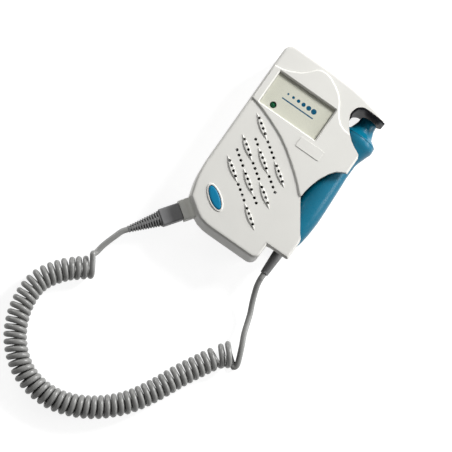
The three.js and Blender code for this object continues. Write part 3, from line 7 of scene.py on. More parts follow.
import sys
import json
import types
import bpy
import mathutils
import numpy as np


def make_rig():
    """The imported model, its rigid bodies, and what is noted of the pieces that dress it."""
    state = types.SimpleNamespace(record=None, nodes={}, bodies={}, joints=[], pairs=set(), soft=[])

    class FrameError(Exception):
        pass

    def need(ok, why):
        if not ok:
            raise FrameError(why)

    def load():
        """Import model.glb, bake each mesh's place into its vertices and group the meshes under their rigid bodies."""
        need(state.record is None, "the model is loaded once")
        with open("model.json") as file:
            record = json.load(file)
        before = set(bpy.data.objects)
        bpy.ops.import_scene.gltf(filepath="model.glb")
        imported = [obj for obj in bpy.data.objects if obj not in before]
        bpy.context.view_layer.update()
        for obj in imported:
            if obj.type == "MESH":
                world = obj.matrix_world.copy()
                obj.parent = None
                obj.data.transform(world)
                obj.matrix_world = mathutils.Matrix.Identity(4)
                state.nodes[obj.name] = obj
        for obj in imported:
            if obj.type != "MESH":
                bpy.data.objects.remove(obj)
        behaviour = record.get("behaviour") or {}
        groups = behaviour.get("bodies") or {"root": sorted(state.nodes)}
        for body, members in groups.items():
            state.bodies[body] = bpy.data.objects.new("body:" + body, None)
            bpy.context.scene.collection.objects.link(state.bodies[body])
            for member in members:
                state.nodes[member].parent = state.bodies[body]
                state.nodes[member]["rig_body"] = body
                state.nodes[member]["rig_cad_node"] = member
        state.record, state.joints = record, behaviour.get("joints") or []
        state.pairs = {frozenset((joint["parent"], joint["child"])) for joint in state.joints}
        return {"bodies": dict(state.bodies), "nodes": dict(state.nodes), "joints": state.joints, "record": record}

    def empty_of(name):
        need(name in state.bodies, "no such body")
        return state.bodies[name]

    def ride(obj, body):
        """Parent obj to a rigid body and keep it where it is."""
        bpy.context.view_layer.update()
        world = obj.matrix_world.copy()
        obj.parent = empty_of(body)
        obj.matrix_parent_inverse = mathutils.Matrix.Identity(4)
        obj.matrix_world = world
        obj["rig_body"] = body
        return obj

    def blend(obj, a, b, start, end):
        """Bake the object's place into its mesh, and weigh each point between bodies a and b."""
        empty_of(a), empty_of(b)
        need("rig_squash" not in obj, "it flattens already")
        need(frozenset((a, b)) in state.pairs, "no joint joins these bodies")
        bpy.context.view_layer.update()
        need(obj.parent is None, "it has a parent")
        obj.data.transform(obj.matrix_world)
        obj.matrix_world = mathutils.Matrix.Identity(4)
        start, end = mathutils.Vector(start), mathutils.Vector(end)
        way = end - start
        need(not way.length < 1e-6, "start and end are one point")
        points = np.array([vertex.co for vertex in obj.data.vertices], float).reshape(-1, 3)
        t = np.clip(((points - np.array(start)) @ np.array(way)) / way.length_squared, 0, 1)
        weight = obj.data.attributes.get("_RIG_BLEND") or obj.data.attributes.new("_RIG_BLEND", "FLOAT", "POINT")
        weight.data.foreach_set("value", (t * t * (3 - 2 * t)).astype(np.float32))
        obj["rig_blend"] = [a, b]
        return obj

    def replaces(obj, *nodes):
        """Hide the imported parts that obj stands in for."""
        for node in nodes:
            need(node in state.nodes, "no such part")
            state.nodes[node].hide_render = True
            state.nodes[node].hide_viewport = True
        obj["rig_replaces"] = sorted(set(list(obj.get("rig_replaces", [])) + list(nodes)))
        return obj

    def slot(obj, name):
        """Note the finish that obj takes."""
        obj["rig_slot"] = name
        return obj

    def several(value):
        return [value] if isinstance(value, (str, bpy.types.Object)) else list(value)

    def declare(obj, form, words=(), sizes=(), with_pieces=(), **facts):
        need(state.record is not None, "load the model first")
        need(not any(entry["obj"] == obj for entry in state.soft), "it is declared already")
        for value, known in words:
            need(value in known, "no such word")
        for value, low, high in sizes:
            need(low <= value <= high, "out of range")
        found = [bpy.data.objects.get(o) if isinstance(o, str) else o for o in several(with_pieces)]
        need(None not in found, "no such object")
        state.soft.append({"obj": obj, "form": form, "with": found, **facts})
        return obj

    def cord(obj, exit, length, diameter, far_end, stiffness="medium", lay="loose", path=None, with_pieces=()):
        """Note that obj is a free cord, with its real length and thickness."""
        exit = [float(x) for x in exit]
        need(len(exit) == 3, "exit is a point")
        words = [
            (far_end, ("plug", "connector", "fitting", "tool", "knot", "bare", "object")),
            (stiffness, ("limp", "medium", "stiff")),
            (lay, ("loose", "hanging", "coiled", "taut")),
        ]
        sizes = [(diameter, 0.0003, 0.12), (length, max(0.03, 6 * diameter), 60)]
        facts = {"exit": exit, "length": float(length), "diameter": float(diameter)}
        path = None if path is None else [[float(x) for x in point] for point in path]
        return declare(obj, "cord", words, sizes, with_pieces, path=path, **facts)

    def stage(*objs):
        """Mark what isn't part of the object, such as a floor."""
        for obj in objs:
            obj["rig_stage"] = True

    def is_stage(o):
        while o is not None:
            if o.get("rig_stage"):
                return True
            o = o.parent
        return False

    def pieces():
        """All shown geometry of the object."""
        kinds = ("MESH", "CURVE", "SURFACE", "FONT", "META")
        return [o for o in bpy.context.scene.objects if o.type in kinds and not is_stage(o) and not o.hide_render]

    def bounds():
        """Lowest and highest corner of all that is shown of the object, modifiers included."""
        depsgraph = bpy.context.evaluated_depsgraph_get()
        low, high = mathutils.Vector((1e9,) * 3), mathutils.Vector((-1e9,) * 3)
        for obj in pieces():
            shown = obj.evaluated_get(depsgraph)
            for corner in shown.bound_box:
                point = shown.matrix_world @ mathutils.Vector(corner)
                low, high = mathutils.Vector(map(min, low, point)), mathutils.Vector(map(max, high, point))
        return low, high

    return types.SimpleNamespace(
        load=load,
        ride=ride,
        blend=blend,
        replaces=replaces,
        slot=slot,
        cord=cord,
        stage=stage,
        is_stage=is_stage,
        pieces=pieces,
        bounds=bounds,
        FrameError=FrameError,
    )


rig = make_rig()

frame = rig.load()
cad_box = [list(corner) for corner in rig.bounds()]

import json
import logging
import math
from collections.abc import Sequence
from dataclasses import dataclass, field
from enum import Enum
from typing import Optional, Union

import bmesh
import bpy
from mathutils import Matrix, Vector

MM = 0.001
WHITE = (1.0, 1.0, 1.0, 1.0)
NODE_MERGE = 2e-6
NODE_FLAT = 0.4
NOISE_SPAN = (0.3, 0.7)

Colour = tuple[float, float, float, float]
Point = tuple[float, float, float]
Span = tuple[float, float]
Object = bpy.types.Object
Socket = bpy.types.NodeSocket
Value = Union[Socket, float, Colour]

log = logging.getLogger("doppler")


class Body(Enum):
    """The moving bodies that pieces ride on."""

    HOUSING = "housing"
    BUTTON = "button"
    DOOR = "door"
    PROBE = "probe"
    PLUG = "plug"


class Join(Enum):
    """How two shader values are joined."""

    ADD = "ADD"
    TAKE = "SUBTRACT"
    TIMES = "MULTIPLY"
    OVER = "DIVIDE"
    MOST = "MAXIMUM"
    BELOW = "LESS_THAN"
    ABOVE = "GREATER_THAN"
    FLOOR = "FLOOR"
    SIZE = "ABSOLUTE"
    ROOT = "SQRT"


class Cut(Enum):
    """How a tool changes a mesh."""

    OUT = "DIFFERENCE"
    ON = "UNION"


# Finishes


def linear(code: str) -> Colour:
    """Turn a hex colour into scene-linear channels.

    Args:
        code: Six hex digits.

    Returns:
        Red, green, blue and an alpha of 1.
    """
    def channel(text: str) -> float:
        """Undo the display curve of one channel."""
        value = int(text, 16) / 255
        return value / 12.92 if value <= 0.04045 else ((value + 0.055) / 1.055) ** 2.4

    return channel(code[0:2]), channel(code[2:4]), channel(code[4:6]), 1.0


def shaded(colour: Colour, factor: float) -> Colour:
    """Make a colour lighter or darker by a factor, with an alpha of 1."""
    return tuple(min(channel * factor, 1.0) for channel in colour[:3]) + (1.0,)


class Nodes:
    """A node tree under construction, with short ways to add, wire and join its nodes."""

    def __init__(self, tree: bpy.types.NodeTree) -> None:
        """Take up a node tree."""
        self.tree = tree

    def add(self, kind: str, inputs: Optional[dict] = None, **settings: object) -> bpy.types.Node:
        """Add a node.

        Args:
            kind: The node's type name.
            inputs: What feeds its inputs, by their names or places.
            settings: Its properties.

        Returns:
            The new node.
        """
        node = self.tree.nodes.new(kind)
        for name, value in settings.items():
            setattr(node, name, value)
        for name, value in (inputs or {}).items():
            self.wire(value, node.inputs[name])
        return node

    def wire(self, source: Value, target: Socket) -> None:
        """Feed a socket.

        Args:
            source: Another socket, or a plain number or colour.
            target: The socket to feed.
        """
        if isinstance(source, Socket):
            self.tree.links.new(source, target)
        else:
            target.default_value = source

    def join(self, how: Join, first: Value, second: Value = 0.0) -> Socket:
        """Join two values by arithmetic.

        Args:
            how: The sum to do.
            first: The first value.
            second: The second value.

        Returns:
            The result.
        """
        return self.add("ShaderNodeMath", {0: first, 1: second}, operation=how.value).outputs[0]


class Shader(Nodes):
    """A material under construction, with patterns on object coordinates."""

    def __init__(self, name: str) -> None:
        """Start a node material with a principled shader.

        Args:
            name: The material's name.
        """
        self.material = bpy.data.materials.new(name)
        self.material.use_nodes = True
        super().__init__(self.material.node_tree)
        self.surface = self.tree.nodes["Principled BSDF"]
        self.place = self.add("ShaderNodeTexCoord").outputs["Object"]

    def feed(self, name: str, source: Value) -> None:
        """Feed one input of the principled shader."""
        self.wire(source, self.surface.inputs[name])

    def noise(self, size: float, detail: float = 2.0) -> Socket:
        """Give a noise whose grains are about one size across.

        Args:
            size: Grain size in metres.
            detail: Number of finer layers.

        Returns:
            The noise's factor.
        """
        inputs = {"Vector": self.place, "Scale": 1 / size, "Detail": detail}
        return self.add("ShaderNodeTexNoise", inputs).outputs["Fac"]

    def mix(self, factor: Socket, low: Value, high: Value) -> Socket:
        """Mix two colours, the second where the factor is 1."""
        return self.add("ShaderNodeMix", {0: factor, 6: low, 7: high}, data_type="RGBA").outputs[2]

    def toned(self, pattern: Socket, colour: str, low: float, high: float) -> Socket:
        """Vary the lightness of a colour.

        Args:
            pattern: Where it is lighter.
            colour: The colour's hex code.
            low: Factor of its darkest tone.
            high: Factor of its lightest tone.

        Returns:
            The varied colour.
        """
        base = linear(colour)
        return self.mix(pattern, shaded(base, low), shaded(base, high))

    def between(self, noise: Socket, low: float, high: float) -> Socket:
        """Spread a noise over a range.

        Args:
            noise: The noise.
            low: The result where it is weak.
            high: The result where it is strong.

        Returns:
            The spread value.
        """
        weak, strong = NOISE_SPAN
        inputs = {"Value": noise, "From Min": weak, "From Max": strong, "To Min": low, "To Max": high}
        return self.add("ShaderNodeMapRange", inputs).outputs["Result"]

    def parts(self) -> tuple[Socket, Socket]:
        """Give the X and the Y of the place on the piece."""
        node = self.add("ShaderNodeSeparateXYZ", {0: self.place})
        return node.outputs[0], node.outputs[1]

    def relief(self, height: Socket, depth: float) -> None:
        """Raise and sink the surface by a pattern, to a depth in metres."""
        bump = self.add("ShaderNodeBump", {"Strength": 1.0, "Distance": depth, "Height": height})
        self.feed("Normal", bump.outputs["Normal"])


@dataclass(frozen=True)
class Finish:
    """A finish that builds its own material."""

    name: str

    def paint(self, shader: Shader) -> None:
        """Add the finish's nodes to a new shader."""
        raise NotImplementedError

    def material(self) -> bpy.types.Material:
        """Build the finish as a node material on object coordinates.

        Returns:
            The material.
        """
        shader = Shader(self.name)
        self.paint(shader)
        return shader.material


@dataclass(frozen=True)
class Plastic(Finish):
    """A moulded plastic or rubber with a spark-eroded grain."""

    colour: str
    roughness: float = 0.45
    grain: float = 0.00035
    depth: float = 0.000012
    mottle: float = 0.03
    gloss: float = 0.4
    coat: float = 0.0
    coat_roughness: float = 0.12
    flow: float = 0.02
    wear: float = 0.004
    smoother: float = 0.04
    rougher: float = 0.05

    def paint(self, shader: Shader) -> None:
        """Mottle the colour, vary the gloss and raise the grain.

        Args:
            shader: The new shader.
        """
        flow = shader.between(shader.noise(self.flow, detail=3.0), 0.0, 1.0)
        shader.feed("Base Color", shader.toned(flow, self.colour, 1 - self.mottle, 1 + self.mottle))
        low, high = self.roughness - self.smoother, self.roughness + self.rougher
        shader.feed("Roughness", shader.between(shader.noise(self.wear), low, high))
        shader.feed("Specular IOR Level", self.gloss)
        shader.feed("Coat Weight", self.coat)
        shader.feed("Coat Roughness", self.coat_roughness)
        shader.relief(shader.noise(self.grain, detail=1.0), self.depth)


@dataclass(frozen=True)
class Metal(Finish):
    """A turned, stamped or plated metal with fine drawn marks."""

    colour: str
    roughness: float = 0.32
    stretch: float = 12.0
    fineness: float = 400.0
    tones: Span = (0.88, 1.08)
    smoother: float = 0.06
    rougher: float = 0.08
    depth: float = 0.000004

    def paint(self, shader: Shader) -> None:
        """Draw the marks along Y.

        Args:
            shader: The new shader.
        """
        scale = (self.stretch, 1.0, self.stretch)
        drawn = shader.add("ShaderNodeMapping", {"Vector": shader.place, "Scale": scale}).outputs["Vector"]
        marks = shader.add("ShaderNodeTexNoise", {"Vector": drawn, "Scale": self.fineness}).outputs[0]
        shader.feed("Base Color", shader.toned(marks, self.colour, *self.tones))
        shader.feed("Metallic", 1.0)
        low, high = self.roughness - self.smoother, self.roughness + self.rougher
        shader.feed("Roughness", shader.between(marks, low, high))
        shader.relief(marks, self.depth)


@dataclass(frozen=True)
class PrintedCard(Finish):
    """The window's card: a row of dots that grow to the right, over a slim line."""

    paper: str
    ink: str
    left: float = -24.0 * MM
    pitch: float = 4.2 * MM
    count: int = 6
    row: float = 38.4 * MM
    least: float = 0.75 * MM
    growth: float = 0.24 * MM
    line: float = 33.9 * MM
    line_width: float = 0.45 * MM
    fibre: float = 0.0009
    tones: Span = (0.97, 1.03)
    sheen: Span = (0.45, 0.6)
    gloss: float = 0.04
    depth: float = 0.00001

    def paint(self, shader: Shader) -> None:
        """Print the pattern on a fine paper grain.

        Args:
            shader: The new shader.
        """
        x, y = shader.parts()
        join = shader.join
        cells = join(Join.OVER, join(Join.TAKE, x, self.left), self.pitch)
        cell = join(Join.FLOOR, cells)
        across = join(Join.TIMES, join(Join.TAKE, join(Join.TAKE, cells, cell), 0.5), self.pitch)
        up = join(Join.TAKE, y, self.row)
        squares = join(Join.ADD, join(Join.TIMES, across, across), join(Join.TIMES, up, up))
        radius = join(Join.ADD, join(Join.TIMES, cell, self.growth), self.least)
        within = join(Join.BELOW, cells, float(self.count))
        inside = join(Join.TIMES, join(Join.ABOVE, cells, 0.0), within)
        dots = join(Join.TIMES, join(Join.BELOW, join(Join.ROOT, squares), radius), inside)
        off = join(Join.SIZE, join(Join.TAKE, y, self.line))
        rule = join(Join.TIMES, join(Join.BELOW, off, self.line_width), inside)
        fibre = shader.noise(self.fibre, detail=3.0)
        paper = shader.toned(fibre, self.paper, *self.tones)
        shader.feed("Base Color", shader.mix(join(Join.MOST, dots, rule), paper, linear(self.ink)))
        shader.feed("Roughness", shader.between(fibre, *self.sheen))
        shader.feed("Specular IOR Level", self.gloss)
        shader.relief(fibre, self.depth)


@dataclass(frozen=True)
class ClearSheet(Finish):
    """A thin clear window with a faint haze, which shows what lies under it."""

    tint: str
    cover: float = 0.008
    haze: float = 0.006
    tones: Span = (0.96, 1.0)
    sheen: Span = (0.05, 0.12)

    def paint(self, shader: Shader) -> None:
        """Haze the sheet and let it through.

        Args:
            shader: The new shader.
        """
        haze = shader.noise(self.haze, detail=3.0)
        shader.feed("Base Color", shader.toned(haze, self.tint, *self.tones))
        shader.feed("Roughness", shader.between(haze, *self.sheen))
        shader.feed("Alpha", self.cover)


@dataclass(frozen=True)
class CircuitBoard(Finish):
    """A lacquered circuit board with copper runs on a grid under the lacquer."""

    lacquer: str
    run: str
    pitch: float = 0.0025
    cells: float = 4
    run_width: float = 0.018
    lighter: float = 1.25
    stain: float = 0.003
    sheen: Span = (0.25, 0.4)
    depth: float = 0.00003

    def paint(self, shader: Shader) -> None:
        """Lay the runs and stain the lacquer.

        Args:
            shader: The new shader.
        """
        lacquer = linear(self.lacquer)
        grid = shader.add("ShaderNodeTexBrick", {
            "Vector": shader.place, "Scale": 1 / self.pitch / self.cells, "Mortar Size": self.run_width,
            "Color1": lacquer, "Color2": shaded(lacquer, self.lighter), "Mortar": linear(self.run),
        })
        shader.feed("Base Color", grid.outputs["Color"])
        shader.feed("Roughness", shader.between(shader.noise(self.stain), *self.sheen))
        shader.relief(grid.outputs["Fac"], self.depth)


@dataclass(frozen=True)
class LampGlass(Finish):
    """The tinted dome of the status lamp, glossy, with painted shade that darkens it towards its edges."""

    colour: str
    # How dark the painted shade at the dome's edges is, and how far it spreads.
    rim_shade: float = 0.35
    rim_shade_blend: float = 0.4
    cloud: float = 0.0012
    tones: Span = (0.8, 1.4)
    stain: float = 0.002
    sheen: Span = (0.08, 0.16)
    gloss: float = 0.1

    def paint(self, shader: Shader) -> None:
        """Cloud the dome and paint shade on its edges.

        Args:
            shader: The new shader.
        """
        # Painted shade: the colour darkens where the dome turns away from the view.
        facing = shader.add("ShaderNodeLayerWeight", {"Blend": self.rim_shade_blend}).outputs["Facing"]
        cloud = shader.toned(shader.noise(self.cloud), self.colour, *self.tones)
        shader.feed("Base Color", shader.mix(facing, cloud, shaded(linear(self.colour), self.rim_shade)))
        shader.feed("Roughness", shader.between(shader.noise(self.stain), *self.sheen))
        shader.feed("Specular IOR Level", self.gloss)


@dataclass(frozen=True)
class RibbedRubber(Finish):
    """The strain relief's rubber, with painted shade in the grooves at both sides of its spine."""

    colour: str
    # Colour of the painted shade in the grooves.
    slot: str
    seat: Span = (-31.6 * MM, -61.2 * MM)
    slope: float = 0.72
    start: float = 22.6 * MM
    pitch: float = 1.785 * MM
    ribs: float = 12.0
    share: float = 0.46
    spine: float = 1.7 * MM
    grain: float = 0.0005
    tones: Span = (0.94, 1.06)
    sheen: Span = (0.42, 0.55)
    gloss: float = 0.25
    depth: float = 0.00002

    def paint(self, shader: Shader) -> None:
        """Paint shade into the grooves, which follow the plug's axis.

        Args:
            shader: The new shader.
        """
        x, y = shader.parts()
        join = shader.join
        turn = math.atan(self.slope)
        sine, cosine = math.sin(turn), math.cos(turn)
        east, north = join(Join.TAKE, x, self.seat[0]), join(Join.TAKE, y, self.seat[1])
        along = join(Join.TAKE, join(Join.TIMES, east, -sine), join(Join.TIMES, north, cosine))
        across = join(Join.TAKE, join(Join.TIMES, east, cosine), join(Join.TIMES, north, sine))
        count = join(Join.OVER, join(Join.TAKE, along, self.start), self.pitch)
        phase = join(Join.TAKE, count, join(Join.FLOOR, count))
        beside = join(Join.ABOVE, join(Join.SIZE, across), self.spine / 2)
        # Painted shade: the grooves between the ribs, beside the spine, take the dark colour.
        slot_shade = join(Join.TIMES, join(Join.ABOVE, phase, self.share), beside)
        slot_shade = join(Join.TIMES, slot_shade, join(Join.BELOW, count, self.ribs))
        grain = shader.noise(self.grain)
        rubber = shader.toned(grain, self.colour, *self.tones)
        shader.feed("Base Color", shader.mix(slot_shade, rubber, linear(self.slot)))
        shader.feed("Roughness", shader.between(grain, *self.sheen))
        shader.feed("Specular IOR Level", self.gloss)
        shader.relief(grain, self.depth)


# A plastic's name and colour, roughness, grain size, grain depth, mottle, gloss and coat.
SHELL = Plastic("shell_plastic", "dad9d4", 0.42, 0.0003, 0.00001, 0.015, 0.35)
CHARCOAL = Plastic("charcoal_liner", "111013", 0.4, 0.0005, 0.00002, 0.15, 0.08)
BOSS = Plastic("socket_plastic", "eeeee8", 0.5, 0.0004, 0.00001, 0.03)
TEAL = Plastic("probe_plastic", "04647f", 0.28, 0.0006, 0.000003, 0.04, 0.25)
BUTTON_BLUE = Plastic("button_plastic", "00779f", 0.34, 0.0005, 0.000008, 0.04, 0.25)
PLUG_GREY = Plastic("plug_rubber", "8a8a8b", 0.5, 0.0004, 0.00002, 0.06, 0.3)
RELIEF_GREY = Plastic("relief_rubber", "727272", 0.42, 0.0005, 0.00001, 0.05, 0.35)
CORD_GREY = Plastic("cord_rubber", "858583", 0.36, 0.0006, 0.00001, 0.04, 0.6)
BLACK = Plastic("chip_plastic", "202022", 0.5, 0.0004, 0.00001, 0.1)
CONE = Plastic("cone_paper", "2c2c2e", 0.85, 0.0009, 0.00006, 0.15, 0.2)
FOAM = Plastic("gasket_foam", "2a2a2c", 0.95, 0.0008, 0.00012, 0.2, 0.1)
CELL = Plastic("battery_wrap", "3c4a5e", 0.35, 0.0007, 0.000004, 0.08, 0.5, 0.3)
CERAMIC = Plastic("crystal_ceramic", "d8cfb8", 0.4, 0.0003, 0.000006, 0.05)
FACE_GREY = Plastic("face_resin", "9aa0a2", 0.3, 0.0006, 0.000006, 0.04, 0.5, 0.2)
MAGNET = Metal("magnet_steel", "6a6c70", 0.4)
STEEL = Metal("screw_steel", "b4b6b8", 0.3)
TIN = Metal("tinned_steel", "c4c6c6", 0.36)
BRASS = Metal("contact_brass", "c8a35a", 0.3)
CARD = PrintedCard("window_card_print", "ccccbe", "024e6c")
LENS = ClearSheet("window_lens_clear", "a6aca8")
BOARD = CircuitBoard("board_lacquer", "1f6b3a", "4f9a5c")
LAMP = LampGlass("lamp_dome", "04502e")
# Its second colour is the painted shade in the strain relief's grooves.
RIBBED = RibbedRubber("ribbed_rubber", "808080", "161616")


# Modelling


def clear_selection() -> None:
    """Leave edit mode and deselect every object."""
    if bpy.context.object is not None and bpy.context.object.mode != "OBJECT":
        bpy.ops.object.mode_set(mode="OBJECT")
    bpy.ops.object.select_all(action="DESELECT")


def pick(obj: Object) -> None:
    """Make one object the only selected and active one.

    Args:
        obj: The object.
    """
    clear_selection()
    obj.select_set(True)
    bpy.context.view_layer.objects.active = obj


def settle(obj: Object) -> None:
    """Put a piece's place, turn and size into its mesh."""
    pick(obj)
    bpy.ops.object.transform_apply(location=True, rotation=True, scale=True)


def edit(obj: Object) -> None:
    """Open a piece in edit mode, with all of it selected.

    Args:
        obj: The piece.
    """
    pick(obj)
    bpy.ops.object.mode_set(mode="EDIT")
    bpy.ops.mesh.select_all(action="SELECT")


def linked(name: str, data: bpy.types.ID) -> Object:
    """Put new data into the scene as an object.

    Args:
        name: The object's name.
        data: Its mesh, curve, lamp or camera.

    Returns:
        The new object.
    """
    obj = bpy.data.objects.new(name, data)
    bpy.context.scene.collection.objects.link(obj)
    return obj


def modify(obj: Object, kind: str, **settings: object) -> None:
    """Give the active piece a modifier and apply it.

    Args:
        obj: The piece.
        kind: The modifier's type name.
        settings: Its properties.
    """
    modifier = obj.modifiers.new(kind.lower(), kind)
    for name, value in settings.items():
        setattr(modifier, name, value)
    bpy.ops.object.modifier_apply(modifier=modifier.name)


def combine(obj: Object, tool: Object, how: Cut) -> None:
    """Cut a tool out of an object or join it on, and remove the tool.

    Args:
        obj: The object that stays.
        tool: The object that is used up.
        how: Whether the tool is cut out or joined on.
    """
    pick(obj)
    modify(obj, "BOOLEAN", operation=how.value, object=tool, solver="EXACT")
    bpy.data.objects.remove(tool, do_unlink=True)


def tidy_mesh(obj: Object, reach: float = 1e-6) -> None:
    """Merge doubled points and turn all faces outwards.

    Args:
        obj: The piece.
        reach: Points closer than this are merged.
    """
    edit(obj)
    bpy.ops.mesh.remove_doubles(threshold=reach)
    bpy.ops.mesh.normals_make_consistent(inside=False)
    bpy.ops.object.mode_set(mode="OBJECT")


def smooth(obj: Object, angle: float = 40.0) -> None:
    """Shade a piece smoothly but for edges sharper than an angle in degrees."""
    pick(obj)
    bpy.ops.object.shade_smooth_by_angle(angle=math.radians(angle))


def soften(obj: Object, width: float, segments: int = 2, angle: float = 30.0) -> None:
    """Round the piece's edges and shade it smoothly.

    Args:
        obj: The piece.
        width: Width of the rounding.
        segments: Number of strips in it.
        angle: Edges sharper than this many degrees are rounded.
    """
    pick(obj)
    modify(
        obj, "BEVEL", width=width, segments=segments, limit_method="ANGLE",
        angle_limit=math.radians(angle), use_clamp_overlap=True,
    )
    smooth(obj)
    modify(obj, "WEIGHTED_NORMAL", keep_sharp=True)


def turned(name: str, stations: Sequence[Span], sides: int, hollow: bool = False) -> Object:
    """Model a turned piece about +Z, by extruding and scaling a circle from station to station.

    Args:
        name: The piece's name.
        stations: Height and radius of each ring, in order.
        sides: Number of sides of each ring.
        hollow: Whether the last ring meets the first, so that the wall closes on itself.

    Returns:
        The turned piece, at the origin.
    """
    clear_selection()
    (height, radius), *rest = stations
    bpy.ops.mesh.primitive_circle_add(
        vertices=sides, radius=radius, fill_type="NOTHING" if hollow else "NGON", location=(0, 0, height),
    )
    obj = bpy.context.active_object
    obj.name = name
    settle(obj)
    edit(obj)
    for next_height, next_radius in rest:
        bpy.ops.mesh.extrude_region_move(TRANSFORM_OT_translate={"value": (0, 0, next_height - height)})
        ratio = next_radius / radius
        bpy.ops.transform.resize(value=(ratio, ratio, 1), center_override=(0, 0, next_height))
        height, radius = next_height, next_radius
    tidy_mesh(obj)
    return obj


def block(name: str, size: Vector, centre: Vector, corner: float, rounding: float) -> Object:
    """Model a block with rounded upright corners and softened edges.

    Args:
        name: The piece's name.
        size: Its size along X, Y and Z.
        centre: Its centre.
        corner: Radius of the upright corners.
        rounding: Rounding of the other edges.

    Returns:
        The block, with its place in its mesh.
    """
    clear_selection()
    bpy.ops.mesh.primitive_cube_add(size=1, location=centre)
    obj = bpy.context.active_object
    obj.name = name
    obj.scale = size
    settle(obj)
    edit(obj)
    bpy.ops.mesh.select_mode(type="EDGE")
    bpy.ops.mesh.select_all(action="DESELECT")
    mesh = bmesh.from_edit_mesh(obj.data)
    for edge in mesh.edges:
        edge.select_set(abs(edge.verts[0].co.z - edge.verts[1].co.z) > size[2] / 2)
    bmesh.update_edit_mesh(obj.data)
    bpy.ops.mesh.bevel(offset=corner, segments=5, affect="EDGES")
    soften(obj, rounding, angle=50.0)
    return obj


def copy_of_node(node: str, name: str) -> Object:
    """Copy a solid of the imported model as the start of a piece, merged and freed of needless edges.

    Args:
        node: The solid's node.
        name: The new piece's name.

    Returns:
        The copy, with its place in its mesh.
    """
    source = frame["nodes"][node]
    obj = linked(name, source.data.copy())
    obj.matrix_world = source.matrix_world.copy()
    settle(obj)
    bpy.ops.mesh.customdata_custom_splitnormals_clear()
    edit(obj)
    bpy.ops.mesh.remove_doubles(threshold=NODE_MERGE)
    bpy.ops.mesh.dissolve_limited(angle_limit=math.radians(NODE_FLAT))
    bpy.ops.object.mode_set(mode="OBJECT")
    return obj


def present(obj: Object, finish: Finish, body: Optional[Body], slot: str, *nodes: str) -> None:
    """Dress a finished piece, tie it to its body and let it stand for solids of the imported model.

    Args:
        obj: The finished piece.
        finish: Its finish.
        body: The body it rides on, or None where it is blended later.
        slot: The record's material slot.
        nodes: The solids it stands for.
    """
    obj.data.materials.clear()
    obj.data.materials.append(finish.material())
    if body is not None:
        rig.ride(obj, body.value)
    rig.slot(obj, slot)
    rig.replaces(obj, *nodes)
    log.info("%s: %d faces, %s", obj.name, len(obj.data.polygons), finish.name)


def dress(finish: Finish, *nodes: str) -> None:
    """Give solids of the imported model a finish, with their shapes as they are.

    Args:
        finish: The finish.
        nodes: The solids' nodes.
    """
    material = finish.material()
    for node in nodes:
        for place in frame["nodes"][node].material_slots:
            place.material = material
        log.info("%s: dressed, %s", node, finish.name)


# Studio


